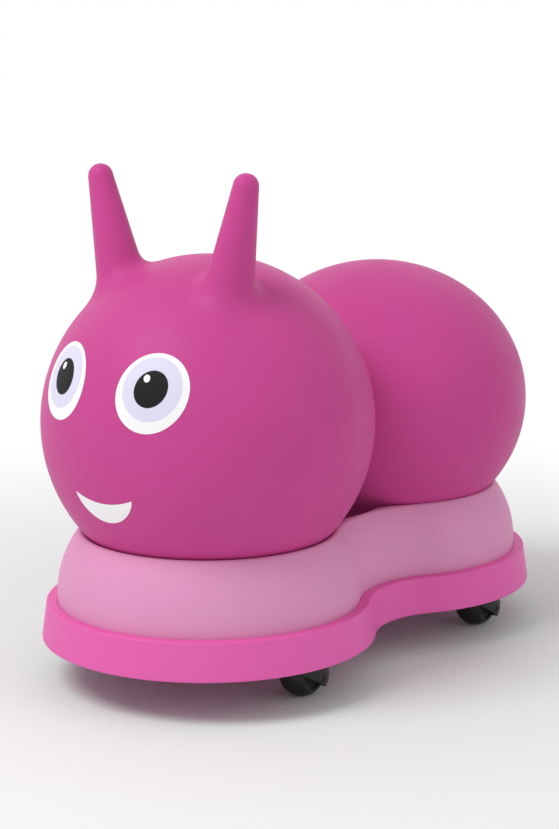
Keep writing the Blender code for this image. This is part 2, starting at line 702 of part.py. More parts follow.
def mount_body():
    """Caster top: a flange with pockets, a hollow stem, and three ears with hollow sleeves."""
    kingpin_bore = KINGPIN_RADIUS + GAP
    floor_top = FLANGE_BOTTOM + FLANGE_FLOOR
    profile = [
        (STEM_BORE_RADIUS, STEM_TOP),
        (STEM_RADIUS, STEM_TOP),
        (STEM_RADIUS, FLANGE_TOP),
        (FLANGE_RADIUS - FLANGE_BEVEL, FLANGE_TOP),
        (FLANGE_RADIUS, FLANGE_TOP - FLANGE_BEVEL),
        (FLANGE_RADIUS, FLANGE_BOTTOM),
        (kingpin_bore, FLANGE_BOTTOM),
        (kingpin_bore, floor_top),
        (STEM_BORE_RADIUS, floor_top),
    ]
    ear_top = FLANGE_TOP + EAR_RISE
    ear_bottom = FLANGE_TOP - EAR_DROP
    sleeve_top = FLANGE_TOP + SLEEVE_RISE
    ear_profile = [
        (SLEEVE_BORE_RADIUS, ear_bottom),
        (SLEEVE_BORE_RADIUS, sleeve_top),
        (SLEEVE_RADIUS, sleeve_top),
        (SLEEVE_RADIUS, ear_top),
        (EAR_RADIUS, ear_top),
        (EAR_RADIUS, ear_bottom),
    ]
    steps = []
    for x, y in ear_offsets(0.0):
        ear = moved(turned(ear_profile, SMALL_STEPS), Matrix.Translation((x, y, 0)))
        steps.append(("UNION", ear))
    steps.append(("DIFFERENCE", pockets()))
    return carved(turned(profile, CASTER_STEPS), *steps)


def along_x(bm):
    """Lays a body turned about Z along the wheel's axle."""
    lying = Matrix.Rotation(math.pi / 2, 4, "Y")
    return moved(bm, Matrix.Translation((0, CASTER_TRAIL, WHEEL_RADIUS)) @ lying)


def hood_ring(centre_y, radius, z):
    """Ring of the hood: round behind its centre, and stretched before it to the shoulder's front."""
    forward = centre_y + HOOD_SHOULDER_RADIUS
    points = []
    for x, y, _ in circle(0, 0, 1, z, CASTER_STEPS):
        points.append((x * radius, centre_y + y * (radius if y > 0 else forward), z))
    return points


def hood_body():
    """Swivelling hood: a shoulder under the flange that swells back over the ball wheel."""
    rings = []
    for height in (HOOD_SKIRT_HEIGHT, (HOOD_SKIRT_HEIGHT + WHEEL_RADIUS) / 2):
        radius = math.sqrt(HOOD_RADIUS ** 2 - (WHEEL_RADIUS - height) ** 2)
        rings.append(circle(0, CASTER_TRAIL, radius, height, CASTER_STEPS))
    neck_bottom = HOOD_TOP - HOOD_NECK_HEIGHT
    shoulder = neck_bottom - HOOD_SHOULDER_DROP
    for share in (0, 0.45, 0.8, 1):
        radius = HOOD_RADIUS + (HOOD_SHOULDER_RADIUS - HOOD_RADIUS) * share ** 2
        height = WHEEL_RADIUS + (shoulder - WHEEL_RADIUS) * share
        rings.append(hood_ring(CASTER_TRAIL * (1 - share ** 2), radius, height))
    rings.append(circle(0, 0, HOOD_NECK_RADIUS, neck_bottom, CASTER_STEPS))
    rings.append(circle(0, 0, HOOD_NECK_RADIUS, HOOD_TOP, CASTER_STEPS))
    body = bmesh.new()
    join_rings(body, rings)

    boss_start = WHEEL_WIDTH / 2 + GAP
    bosses = bmesh.new()
    for start, end in ((boss_start, HOOD_RADIUS + OVERCUT), (-HOOD_RADIUS - OVERCUT, -boss_start)):
        add_rod(bosses, (0, 0), HOOD_BOSS_RADIUS, start, end, SMALL_STEPS)
    wheel_centre = Vector((0, CASTER_TRAIL, WHEEL_RADIUS))
    cavity_axes = Vector((HOOD_CAVITY_RADIUS, HOOD_CAVITY_RADIUS, HOOD_CAVITY_RADIUS))
    cavity = carved(ball(wheel_centre, cavity_axes, 0, CASTER_STEPS), ("DIFFERENCE", along_x(bosses)))

    front_y = -HOOD_RADIUS
    rear_y = front_y + (HOOD_CUT_HEIGHT - HOOD_SKIRT_HEIGHT + OVERCUT) / math.tan(HOOD_CUT_ANGLE)
    rear_z = HOOD_SKIRT_HEIGHT - OVERCUT
    side = HOOD_RADIUS + OVERCUT
    mouth = [(front_y, rear_z), (rear_y, rear_z), (front_y, HOOD_CUT_HEIGHT)]
    wedge = bmesh.new()
    join_rings(wedge, [[(x, y, z) for y, z in mouth] for x in (-side, side)])

    bore_radius = KINGPIN_RADIUS + GAP
    head_radius = KINGPIN_HEAD_RADIUS + GAP
    axle_bore = along_x(rods([(0, 0)], AXLE_RADIUS + GAP, -HOOD_RADIUS - OVERCUT, HOOD_RADIUS + OVERCUT))
    return carved(
        body,
        ("DIFFERENCE", cavity),
        ("DIFFERENCE", wedge),
        ("DIFFERENCE", rods([(0, 0)], bore_radius, WHEEL_RADIUS, HOOD_TOP + OVERCUT)),
        ("DIFFERENCE", rods([(0, 0)], head_radius, WHEEL_RADIUS, KINGPIN_SEAT)),
        ("DIFFERENCE", axle_bore),
    )


def kingpin_body():
    head_top = KINGPIN_SEAT - GAP
    rivet_bottom = FLANGE_BOTTOM + FLANGE_FLOOR + GAP
    return turned_solid([
        (KINGPIN_HEAD_RADIUS, head_top - KINGPIN_HEAD_HEIGHT),
        (KINGPIN_HEAD_RADIUS, head_top),
        (KINGPIN_RADIUS, head_top),
        (KINGPIN_RADIUS, rivet_bottom),
        (KINGPIN_HEAD_RADIUS, rivet_bottom),
        (KINGPIN_HEAD_RADIUS, rivet_bottom + KINGPIN_HEAD_HEIGHT),
    ], PIN_STEPS)


def washer_body():
    bore = KINGPIN_RADIUS + GAP
    bottom = WASHER_TOP - WASHER_THICKNESS
    profile = [(bore, bottom), (WASHER_RADIUS, bottom), (WASHER_RADIUS, WASHER_TOP), (bore, WASHER_TOP)]
    return turned(profile, PIN_STEPS)


def wheel_body():
    """Ball with flat sides and a bore, turned about its own axle along X."""
    half = WHEEL_WIDTH / 2
    bore = AXLE_RADIUS + GAP
    bend = math.asin(half / WHEEL_RADIUS)
    profile = [(bore, -half)]
    for step in range(5):
        angle = bend * (step / 2 - 1)
        profile.append((WHEEL_RADIUS * math.cos(angle), WHEEL_RADIUS * math.sin(angle)))
    profile.append((bore, half))
    return moved(turned(profile, CASTER_STEPS), Matrix.Rotation(math.pi / 2, 4, "Y"))


def axle_body():
    rod = rods([(0, 0)], AXLE_RADIUS, -AXLE_LENGTH / 2, AXLE_LENGTH / 2)
    return moved(rod, Matrix.Rotation(math.pi / 2, 4, "Y"))


def make_casters(plastic_black, steel, nylon):
    """Four casters, each hung on an empty on its stem's axis at floor level."""
    wheel_place = Matrix.Translation((0, CASTER_TRAIL, WHEEL_RADIUS))
    for (corner, turn), (stem_x, stem_y) in zip(MOUNT_TURNS.items(), stem_places()):
        stem = add_empty(f"caster_{corner}_stem_axis", (stem_x, stem_y, 0))
        turned_mount = Matrix.Rotation(turn, 4, "Z")
        add_piece(f"caster_{corner}_mount", mount_body(), plastic_black, stem, turned_mount)
        add_piece(f"caster_{corner}_kingpin", kingpin_body(), steel, stem)
        add_piece(f"caster_{corner}_washer", washer_body(), nylon, stem)
        add_piece(f"caster_{corner}_hood", hood_body(), plastic_black, stem)
        add_piece(f"caster_{corner}_wheel", wheel_body(), plastic_black, stem, wheel_place)
        add_piece(f"caster_{corner}_axle", axle_body(), plastic_black, stem, wheel_place)


def build():
    clear_scene()
    vinyl = plastic("pink_vinyl", (0.60, 0.075, 0.30), 0.42)
    shell_pink = plastic("light_pink_plastic", (0.78, 0.33, 0.58), 0.5)
    band_pink = plastic("hot_pink_plastic", (0.85, 0.13, 0.48), 0.45)
    black = plastic("black_plastic", (0.018, 0.018, 0.018), 0.55)
    steel = plastic("steel", (0.55, 0.55, 0.56), 0.3, 1.0)
    nylon = plastic("nylon", (0.6, 0.6, 0.58), 0.5)
    white_ink = plastic("white_ink", (0.9, 0.9, 0.9), 0.5)
    colours = {
        "white": white_ink,
        "iris": plastic("lavender_ink", (0.77, 0.73, 0.91), 0.5),
        "pupil": plastic("black_ink", (0.02, 0.02, 0.02), 0.5),
        "glint": white_ink,
    }
    hopper = add_empty("hopper_lift_axis", (0, 0, 0))
    make_skin(vinyl, hopper)
    make_valve_plug(vinyl, hopper)
    make_eye("left", 1, colours, hopper)
    make_eye("right", -1, colours, hopper)
    make_mouth(white_ink, hopper)
    make_tray_shell(shell_pink)
    make_bumper_base(band_pink)
    make_tray_screws(steel)
    make_casters(black, steel, nylon)


build()
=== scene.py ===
"""Looks of the two-ball hopper in its castered tray: fine meshes, finishes, light and camera.

Metres in the row frame: the floor is z = 0, -Y is forwards and +X is the hopper's left.
"""
import math

import bmesh
import bpy
import numpy as np
from mathutils import Matrix, Vector


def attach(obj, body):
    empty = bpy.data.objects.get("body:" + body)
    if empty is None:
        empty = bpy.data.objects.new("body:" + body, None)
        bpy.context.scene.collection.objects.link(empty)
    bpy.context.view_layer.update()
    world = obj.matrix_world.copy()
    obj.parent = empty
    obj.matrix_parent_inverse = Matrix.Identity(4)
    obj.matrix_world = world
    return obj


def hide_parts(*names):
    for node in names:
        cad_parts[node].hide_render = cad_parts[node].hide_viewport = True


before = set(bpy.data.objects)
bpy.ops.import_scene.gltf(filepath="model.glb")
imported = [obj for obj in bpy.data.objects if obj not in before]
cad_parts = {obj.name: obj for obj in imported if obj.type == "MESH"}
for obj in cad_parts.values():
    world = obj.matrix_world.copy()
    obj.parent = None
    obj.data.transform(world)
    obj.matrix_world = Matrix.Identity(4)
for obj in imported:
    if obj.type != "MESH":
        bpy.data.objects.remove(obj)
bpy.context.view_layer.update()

# Inflatable skin, as in the solids
HEAD_RADIUS = 0.150
REAR_RADIUS = 0.147
REAR_HALF_HEIGHT = 0.135
HALF_SPACING = 0.1285
HEAD_CENTRE = np.array((0.0, -HALF_SPACING, 0.2362))
REAR_CENTRE = np.array((0.0, HALF_SPACING, 0.2212))
REAR_AXES = np.array((REAR_RADIUS, REAR_RADIUS, REAR_HALF_HEIGHT))
WAIST_FILLET = 0.012
SKIN_VOXEL = 0.0034

# Antennas: foot from the head's centre, direction of the hopper's left one, and its taper
ANTENNA_FOOT = np.array((0.0628, -0.0445, 0.130))
ANTENNA_WAY = np.array((0.228, -0.025, 0.973))
ANTENNA_LENGTH = 0.0905
ANTENNA_FOOT_RADIUS = 0.0217
ANTENNA_TIP_RADIUS = 0.0112
ANTENNA_ROOT_DEPTH = 0.022
ANTENNA_FILLET = 0.016

# Making of the skin's mesh: the steps of the rough shape, and how often and how far its points are evened
# out. The tip's bend is a point on the antenna's round end, as shares of the tip's radius.
SKIN_BALL_STEPS = 96
SKIN_ANTENNA_STEPS = 40
ANTENNA_TIP_BEND = (0.6, 0.8)
SKIN_ROUNDS = 6
SKIN_EVENING = 0.6

# Valve low on the rear ball's back, its seat and its plug, in radii and in heights over the skin
VALVE_ANGLE = math.radians(-20)
VALVE_BORE_RADIUS = 0.0068
VALVE_BORE_DEPTH = 0.0145
VALVE_SEAT_RADIUS = 0.0135
VALVE_SEAT_TOP = 0.0008
VALVE_SEAT_DEPTH = 0.0030
VALVE_SEAT_SPREAD = 0.002
VALVE_RECESS_RADIUS = 0.0111
VALVE_RECESS_HEIGHT = 0.0002
VALVE_ROUNDING = 0.0005
PLUG_MIDDLE_RADIUS = 0.0008
PLUG_END_HEIGHT = -0.0130
PLUG_END_SHARE = 0.75
PLUG_SHANK_HEIGHTS = (-0.0104, -0.0032)
PLUG_NECK_HEIGHT = -0.0024
PLUG_NECK_INSET = 0.0006
PLUG_HEAD = ((0.0105, 0.0015), (0.0084, 0.0025), (0.0040, 0.0025), (0.0036, 0.0019))
PLUG_DIMPLE_HEIGHT = 0.0018
TAB_HALF_WIDTH = 0.0011
TAB_HALF_LENGTH = 0.0030
TAB_HEIGHTS = (0.0010, 0.0025)

# Printed face: arc lengths over the head, ellipses as centre, half sizes and tilt
EYE_AZIMUTH = math.radians(21)
EYE_ELEVATION = math.radians(19.3)
EYE_LAYERS = {
    "white": (0.0, 0.0012, 0.0357, 0.0319, math.radians(60)),
    "iris": (0.0, 0.0044, 0.0282, 0.0260, math.radians(62)),
    "pupil": (-0.0006, 0.0042, 0.0166, 0.0144, math.radians(59)),
    "glint": (-0.0050, 0.0130, 0.0034, 0.0029, math.radians(90)),
}
MOUTH_AZIMUTH = math.radians(1)
MOUTH_ELEVATION = math.radians(-20)
MOUTH_HALF_WIDTH = 0.0318
MOUTH_CORNER_HEIGHT = 0.0074
MOUTH_TOP_SAG = 0.0056
MOUTH_BOTTOM_SAG = 0.0252
MOUTH_ROUNDNESS = 0.66
INK_THICKNESS = 0.00014
INK_CLEARANCE = 0.00008
INK_LAYER_GAP = 0.00002
EYE_STEPS = 72
EYE_RINGS = 10
MOUTH_COLUMNS = 65
MOUTH_ROWS = 10

# Tray
BAND_FOOT = 0.040
BAND_TOP = 0.074
RIM_TOP = 0.1377
BAND_FOOT_RADIUS = 0.1525
BAND_LEAN = 0.0045
BAND_WAIST = 0.080
SHELL_FOOT_RADIUS = 0.138
RIM_RADIUS = 0.118
SHELL_WAIST = 0.099
RIM_WAIST = 0.125
WALL_BULGE = 2.4
BAND_WALL = 0.006
BAND_SHOULDER_ROUNDING = 0.0018
BAND_FOOT_ROUNDING = 0.0015
BAND_SIDE_START = 0.006
EDGE_ROUNDING = 0.0008
EDGE_BREAK = 0.0002
SHELL_WALL = 0.004
DISH_WALL = 0.0045
RIM_ROUNDING = 0.0018
RIM_INNER_ROUNDING = 0.0035
BOWL_FILLET = 0.009
SEAT_GAP = 0.0005
WEB_BOTTOM = 0.0603
WEB_TOP = 0.0640
SHELL_BOTTOM = 0.0643
WEB_WIDTH = 0.020
WEB_MIDDLE_WIDTH = 0.008
TROUGH_AXES = (0.077, 0.095, 0.030)
LOBE_STEPS = 144
WAIST_STEPS = 36
WALL_HALVINGS = 26
DISH_SHARES = np.concatenate((np.linspace(0.004, 0.09, 12), np.linspace(0.112, 1.0, 36)))

# Openings in the dish, +X side, from the axis of the lobe they lie in
FRONT_OPENING = ((0.1004, 0.032), (0.0735, 0.1165), (0.0186, 0.1037), (0.0131, 0.060), (0.0535, 0.029))
WAIST_OPENING = ((0.073, -0.1106), (0.0995, -0.037), (0.0103, -0.0982), (0.0295, -0.1112))
REAR_OPENING = ((0.028, 0.0545), (0.0305, 0.076), (0.0365, 0.1005))
KEYHOLE_BIG = (0.0525, 0.0818, 0.0130)
KEYHOLE_SMALL = (0.0508, 0.0628, 0.0084)
CENTRE_HOLE_RADIUS = 0.0465
OPENING_CORNER = 0.0022
STEM_SLOT_LENGTH = 0.0046
STEM_SLOT_WIDTH = 0.0024
STEM_SLOT_INSET = 0.0036
STEM_SLOT_AHEAD = 0.004
STEM_SLOT_SPREAD = 0.0025

# Screws and their posts. The head's shares are of its radius and height, and the tip's say where along the
# screw it starts and how wide it ends.
SCREW_CIRCLE = 0.1312
SCREW_ANGLE = math.radians(35)
WAIST_SCREW_X = 0.0933
SCREW_RADIUS = 0.0018
SCREW_LENGTH = 0.012
SCREW_HEAD_RADIUS = 0.0038
SCREW_HEAD_HEIGHT = 0.0022
SCREW_HEAD_SHARES = ((0.55, 0.0), (0.96, 0.35))
SCREW_TIP_SHARES = (0.85, 0.3)
SCREW_ROUNDING = 0.0004
SCREW_MIDDLE_RADIUS = 0.0004
SCREW_CROSS = ((0.0022, 0.00045), (0.00045, 0.0022))
SCREW_CROSS_DEPTH = 0.0012
SCREW_CROSS_OVERCUT = 0.001
SCREW_SEAT = 0.0600
POST_RADIUS = 0.0042
POST_TOP = 0.0768

# Casters
STEM_X = 0.105
STEM_Y = 0.1395
FLANGE_TOP = 0.060
FLANGE_BOTTOM = 0.0505
FLANGE_FLOOR_TOP = 0.058
FLANGE_RADIUS = 0.0255
STEM_RADIUS = 0.0093
STEM_TOP = 0.0865
STEM_BORE_RADIUS = 0.0077
KINGPIN_BORE_RADIUS = 0.0043
POCKET_CIRCLE = 0.0165
POCKET_LENGTH = 0.0092
POCKET_WIDTH = 0.0048
POCKET_DEPTH = 0.004
POCKET_COUNT = 6
POCKET_START = -96
EAR_CIRCLE = 0.0272
EAR_ANGLES = (-90, -175, 68)
EAR_RADIUS = 0.0054
EAR_TOP = 0.0616
EAR_BOTTOM = 0.0460
SLEEVE_RADIUS = 0.0043
SLEEVE_TOP = 0.0655
SLEEVE_BORE_RADIUS = 0.0026
MOUNT_ROUNDING = 0.0007
EAR_ROUNDING = 0.0005
PAD_RADIUS = 0.036
SOCKET_RADIUS = 0.0127
SOCKET_ROUNDING = 0.0012
SOCKET_MIDDLE_RADIUS = 0.001
SOCKET_BORE_RADIUS = 0.0096
SOCKET_BORE_TOP = 0.0868
SOCKET_TOP = 0.0888
WHEEL_RADIUS = 0.020
WHEEL_HALF_WIDTH = 0.014
WHEEL_HUB_RADIUS = 0.0062
WHEEL_DISH_RADIUS = 0.0070
WHEEL_DISH_DEPTH = 0.0016
WHEEL_DISH_INSET = 0.0032
WHEEL_RIM_INSET = 0.0024
WHEEL_ROUNDING = 0.0004
CASTER_STEPS = 96
CASTER_TRAIL = 0.0135
AXLE_RADIUS = 0.0025
AXLE_HALF_LENGTH = 0.0238
AXLE_ROUNDING = 0.0006
AXLE_MIDDLE_RADIUS = 0.0003
HOOD_TOP = 0.0491
HOOD_EDGE = 0.0006
HOOD_NECK_RADIUS = 0.0212
HOOD_NECK_BOTTOM = 0.0449
HOOD_SHOULDER_RADIUS = 0.0238
HOOD_SHOULDER_HEIGHT = 0.0443
HOOD_RADIUS = 0.0245
HOOD_CAVITY_RADIUS = 0.0215
HOOD_SKIRT_HEIGHT = 0.008
HOOD_CUT_HEIGHT = 0.036
HOOD_CUT_ANGLE = math.radians(29)
HOOD_PORT_HEIGHT = 0.036
HOOD_PORT_AZIMUTHS = (39, 141)
HOOD_PORT_RADIUS = 0.0022
HOOD_PORT_START = 0.012
HOOD_BOSS_RADIUS = 0.0052
KINGPIN_HEAD_BORE_RADIUS = 0.0059
KINGPIN_SEAT = 0.0418

# Shared: the running gap, how far a tool reaches past what it cuts, the distance at which points merge, and
# the most of an edge that a rounding takes at either end
GAP = 0.0003
OVERCUT = 0.003
WELD = 2e-6
ROUNDING_REACH = 0.45

# Corners of the tray, as signs of X and Y, and the degrees by which each caster's mount is turned
CORNERS = {"front_left": (1, -1), "front_right": (-1, -1), "rear_left": (1, 1), "rear_right": (-1, 1)}
MOUNT_TURNS = {"front_left": 0, "front_right": 190, "rear_left": 10, "rear_right": 190}

# Camera, at the photograph's angle, lens and distance
CAMERA_AZIMUTH = math.radians(38.66)
CAMERA_PITCH = math.radians(11.22)
CAMERA_DISTANCE = 1.986
CAMERA_TARGET = Vector((0.0, -0.026, 0.226))
CAMERA_LENS = 92.1
CAMERA_SENSOR = 36.0

# Studio: the floor's half side, its tints, the distances from the origin over which it changes tint and
# fades to white, and the light of the world round it. The tints make up for the pink light that the object
# throws on the floor.
FLOOR_HALF = 40.0
FLOOR_NEAR_TINT = (0.87, 0.965, 0.925)
FLOOR_FAR_TINT = (0.945, 0.96, 0.955)
FLOOR_TINT_SPAN = (0.15, 0.45)
FLOOR_FADE_SPAN = (0.32, 1.0)
FLOOR_ROUGHNESS = 0.7
FLOOR_GLOSS = 0.05
WHITE = (1.0, 1.0, 1.0, 1.0)
AMBIENT = 0.55

# Lamps: metres to the camera's left, towards it and up, then the disc's size and its power
KEY_PLACE = (1.3, 0.9, 2.2)
KEY_SIZE = 1.3
KEY_WATTS = 30.0
FILL_PLACE = (-1.8, 1.0, 1.2)
FILL_SIZE = 1.6
FILL_WATTS = 4.0
LAMP_TARGET = (0.0, 0.0, 0.22)

# Finishes: scales of the clouds in the colour, of the haze in the gloss and of the long wave, how deep the
# wave and the grain are, and the part of a noise's range that most of it fills
CLOUD_SCALE = 9.0
HAZE_SCALE = 26.0
WAVE_SCALE = 14.0
WAVE_DEPTH = 0.0006
GRAIN_DEPTH = 0.0002
NOISE_RANGE = (0.3, 0.7)
VINYL_SHEEN_TINT = (0.55, 0.50, 1.0, 1.0)


# Mesh building

def new_object(name, mesh):
    made = bpy.data.objects.new(name, mesh)
    bpy.context.scene.collection.objects.link(made)
    return made


def body_from(verts, faces, merge=0.0):
    """Object made of points and faces, its normals turned outwards."""
    mesh = bpy.data.meshes.new("body")
    mesh.from_pydata([tuple(map(float, v)) for v in verts], [], faces)
    bm = bmesh.new()
    bm.from_mesh(mesh)
    if merge:
        bmesh.ops.remove_doubles(bm, verts=bm.verts, dist=merge)
    bmesh.ops.dissolve_degenerate(bm, edges=bm.edges, dist=1e-7)
    bmesh.ops.recalc_face_normals(bm, faces=bm.faces)
    bm.to_mesh(mesh)
    bm.free()
    return new_object("body", mesh)


def loft(rings, closed=False, caps=True, merge=0.0):
    """Joins rings of equal point counts, end to end, into one closed body."""
    count = len(rings[0])
    verts = np.concatenate([np.asarray(ring, dtype=float) for ring in rings])
    faces = []
    spans = len(rings) if closed else len(rings) - 1
    for row in range(spans):
        near = row * count
        far = ((row + 1) % len(rings)) * count
        for index in range(count):
            after = (index + 1) % count
            faces.append((near + index, near + after, far + after, far + index))
    if caps and not closed:
        faces.append(tuple(range(count))[::-1])
        last = (len(rings) - 1) * count
        faces.append(tuple(range(last, last + count)))
    return body_from(verts, faces, merge)


def circle(radius, z, steps, centre=(0.0, 0.0)):
    angles = np.arange(steps) * (2 * math.pi / steps)
    x = centre[0] + radius * np.cos(angles)
    y = centre[1] + radius * np.sin(angles)
    return np.column_stack((x, y, np.full(steps, z)))


def rod(radius, bottom, top, steps=32, centre=(0.0, 0.0)):
    return loft([circle(radius, z, steps, centre) for z in (bottom, top)])


def prism(plan, bottom, top):
    """Upright body over the points of a plan."""
    return loft([np.array([(x, y, z) for x, y in plan]) for z in (bottom, top)])


def block(half_x, half_y, bottom, top, centre=(0.0, 0.0)):
    """Upright box, by half its sizes in the plan."""
    corners = ((-1, -1), (1, -1), (1, 1), (-1, 1))
    return prism([(centre[0] + x * half_x, centre[1] + y * half_y) for x, y in corners], bottom, top)


def turned(profile, steps, closed=True):
    """Turns a profile of (radius, height) points about Z: a closed one, or one capped at its ends."""
    return loft([circle(radius, z, steps) for radius, z in profile], closed=closed)


def rounded(profile, radius, closed=True, steps=4):
    """Replaces each corner of a profile by an arc-like curve that starts up to radius away from it."""
    points = [np.array(point, dtype=float) for point in profile]
    count = len(points)
    result = []
    for index, point in enumerate(points):
        if not closed and index in (0, count - 1):
            result.append(tuple(point))
            continue
        before = points[index - 1] - point
        after = points[(index + 1) % count] - point
        nearest = min(np.linalg.norm(before), np.linalg.norm(after))
        reach = min(radius, ROUNDING_REACH * nearest)
        start = point + before / np.linalg.norm(before) * reach
        end = point + after / np.linalg.norm(after) * reach
        for step in range(steps + 1):
            share = step / steps
            corner = point * 2 * share * (1 - share)
            result.append(tuple(start * (1 - share) ** 2 + corner + end * share ** 2))
    return result


def ball(centre, axes, steps=64):
    mesh = bpy.data.meshes.new("ball")
    bm = bmesh.new()
    bmesh.ops.create_uvsphere(bm, u_segments=steps, v_segments=steps // 2, radius=1)
    bmesh.ops.transform(bm, matrix=Matrix.Translation(centre) @ Matrix.Diagonal((*axes, 1)), verts=bm.verts)
    bm.to_mesh(mesh)
    bm.free()
    return new_object("ball", mesh)


def moved(thing, matrix):
    thing.data.transform(matrix)
    return thing


def frozen(thing):
    """Replaces an object's mesh by the result of its modifiers."""
    graph = bpy.context.evaluated_depsgraph_get()
    mesh = bpy.data.meshes.new_from_object(thing.evaluated_get(graph))
    thing.modifiers.clear()
    thing.data = mesh
    return thing


def carved(whole, *steps):
    """Works Boolean steps in turn, each an operation and a tool, and removes the tools."""
    for operation, tool in steps:
        boolean = whole.modifiers.new(operation, "BOOLEAN")
        boolean.operation = operation
        boolean.solver = "EXACT"
        boolean.object = tool
    frozen(whole)
    for _, tool in steps:
        bpy.data.objects.remove(tool)
    return whole


def finished(thing, name, material, body, slot, *nodes, angle=35):
    """Names a piece, shades it smooth between hard edges, and puts it on its body."""
    thing.name = name
    thing.data.name = name
    thing.data.shade_smooth()
    thing.data.set_sharp_from_angle(angle=math.radians(angle))
    thing.data.materials.clear()
    thing.data.materials.append(material)
    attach(thing, body)
    if nodes:
        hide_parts(*nodes)
    return thing


# Finishes

def shader_nodes(name):
    material = bpy.data.materials.new(name)
    material.use_nodes = True
    tree = material.node_tree
    return material, tree, tree.nodes["Principled BSDF"]


def noise(tree, coordinates, scale, detail=3.0, roughness=0.5):
    node = tree.nodes.new("ShaderNodeTexNoise")
    node.inputs["Scale"].default_value = scale
    node.inputs["Detail"].default_value = detail
    node.inputs["Roughness"].default_value = roughness
    tree.links.new(coordinates, node.inputs["Vector"])
    return node.outputs["Fac"]


def spread(tree, value, low, high):
    node = tree.nodes.new("ShaderNodeMapRange")
    node.inputs["From Min"].default_value = NOISE_RANGE[0]
    node.inputs["From Max"].default_value = NOISE_RANGE[1]
    node.inputs["To Min"].default_value = low
    node.inputs["To Max"].default_value = high
    tree.links.new(value, node.inputs["Value"])
    return node.outputs["Result"]


def tinted(tree, value, first, second):
    node = tree.nodes.new("ShaderNodeMix")
    node.data_type = "RGBA"
    node.inputs["A"].default_value = (*first, 1)
    node.inputs["B"].default_value = (*second, 1)
    tree.links.new(value, node.inputs["Factor"])
    return node.outputs["Result"]


def relief(tree, shader, heights):
    """Stacks bump layers of (height, strength, distance) onto the shader's normal."""
    normal = None
    for height, strength, distance in heights:
        bump = tree.nodes.new("ShaderNodeBump")
        bump.inputs["Strength"].default_value = strength
        bump.inputs["Distance"].default_value = distance
        tree.links.new(height, bump.inputs["Height"])
        if normal:
            tree.links.new(normal, bump.inputs["Normal"])
        normal = bump.outputs["Normal"]
    tree.links.new(normal, shader.inputs["Normal"])


def moulded(name, colour, variation, roughness, grain_scale, grain, wave=0.0, metallic=0.0, gloss=0.5):
    """Moulded surface: slight cloudiness in colour and gloss, fine grain, and a faint long wave."""
    material, tree, shader = shader_nodes(name)
    place = tree.nodes.new("ShaderNodeTexCoord").outputs["Object"]
    cloud = spread(tree, noise(tree, place, CLOUD_SCALE, 4.0), 0.0, 1.0)
    darker = tuple(channel * (1 - variation) for channel in colour)
    lighter = tuple(min(1.0, channel * (1 + variation)) for channel in colour)
    tree.links.new(tinted(tree, cloud, darker, lighter), shader.inputs["Base Color"])
    haze = noise(tree, place, HAZE_SCALE, 5.0, 0.6)
    tree.links.new(spread(tree, haze, roughness[0], roughness[1]), shader.inputs["Roughness"])
    layers = [(noise(tree, place, grain_scale, 2.0), grain, GRAIN_DEPTH)]
    if wave:
        layers.insert(0, (noise(tree, place, WAVE_SCALE, 1.0), wave, WAVE_DEPTH))
    relief(tree, shader, layers)
    shader.inputs["Metallic"].default_value = metallic
    shader.inputs["Specular IOR Level"].default_value = gloss
    return material


VINYL = moulded("satin_pink_vinyl", (0.600, 0.069, 0.286), 0.03, (0.44, 0.54), 900.0, 0.10, wave=0.10,
                gloss=0.25)
VINYL.node_tree.nodes["Principled BSDF"].inputs["Specular Tint"].default_value = VINYL_SHEEN_TINT
SHELL = moulded("matte_light_pink_plastic", (0.750, 0.313, 0.538), 0.02, (0.50, 0.60), 1100.0, 0.14,
                gloss=0.3)
BAND = moulded("satin_hot_pink_plastic", (0.810, 0.123, 0.440), 0.02, (0.42, 0.52), 1100.0, 0.10,
               gloss=0.3)
BLACK = moulded("black_nylon", (0.0150, 0.0150, 0.0155), 0.15, (0.42, 0.58), 1600.0, 0.20, gloss=0.35)
WHEEL_BLACK = moulded("black_wheel", (0.0130, 0.0130, 0.0135), 0.20, (0.38, 0.55), 1600.0, 0.12,
                      gloss=0.35)
STEEL = moulded("zinc_plated_steel", (0.56, 0.56, 0.57), 0.05, (0.24, 0.38), 700.0, 0.08, metallic=1.0)
WASHER = moulded("white_nylon", (0.60, 0.60, 0.58), 0.03, (0.45, 0.55), 900.0, 0.10)
WHITE_INK = moulded("white_ink", (0.97, 0.97, 0.98), 0.01, (0.45, 0.53), 900.0, 0.05, gloss=0.25)
LAVENDER_INK = moulded("lavender_ink", (0.765, 0.725, 0.900), 0.01, (0.45, 0.53), 900.0, 0.05,
                       gloss=0.25)
BLACK_INK = moulded("black_ink", (0.012, 0.012, 0.013), 0.02, (0.45, 0.53), 900.0, 0.05, gloss=0.12)


# Inflated skin

def soft_min(a, b, width):
    overlap = np.maximum(width - np.abs(a - b), 0) / width
    return np.minimum(a, b) - overlap * overlap * width * 0.25


def antenna_line(side):
    mirror = np.array((side, 1, 1))
    way = ANTENNA_WAY / np.linalg.norm(ANTENNA_WAY) * mirror
    return HEAD_CENTRE + ANTENNA_FOOT * mirror, way


def antenna_field(points, side):
    foot, way = antenna_line(side)
    along = np.clip((points - foot) @ way, -ANTENNA_ROOT_DEPTH, ANTENNA_LENGTH)
    taper = (ANTENNA_FOOT_RADIUS - ANTENNA_TIP_RADIUS) / ANTENNA_LENGTH
    across = np.linalg.norm(points - foot - along[:, None] * way, axis=1)
    return across - (ANTENNA_FOOT_RADIUS - taper * along)


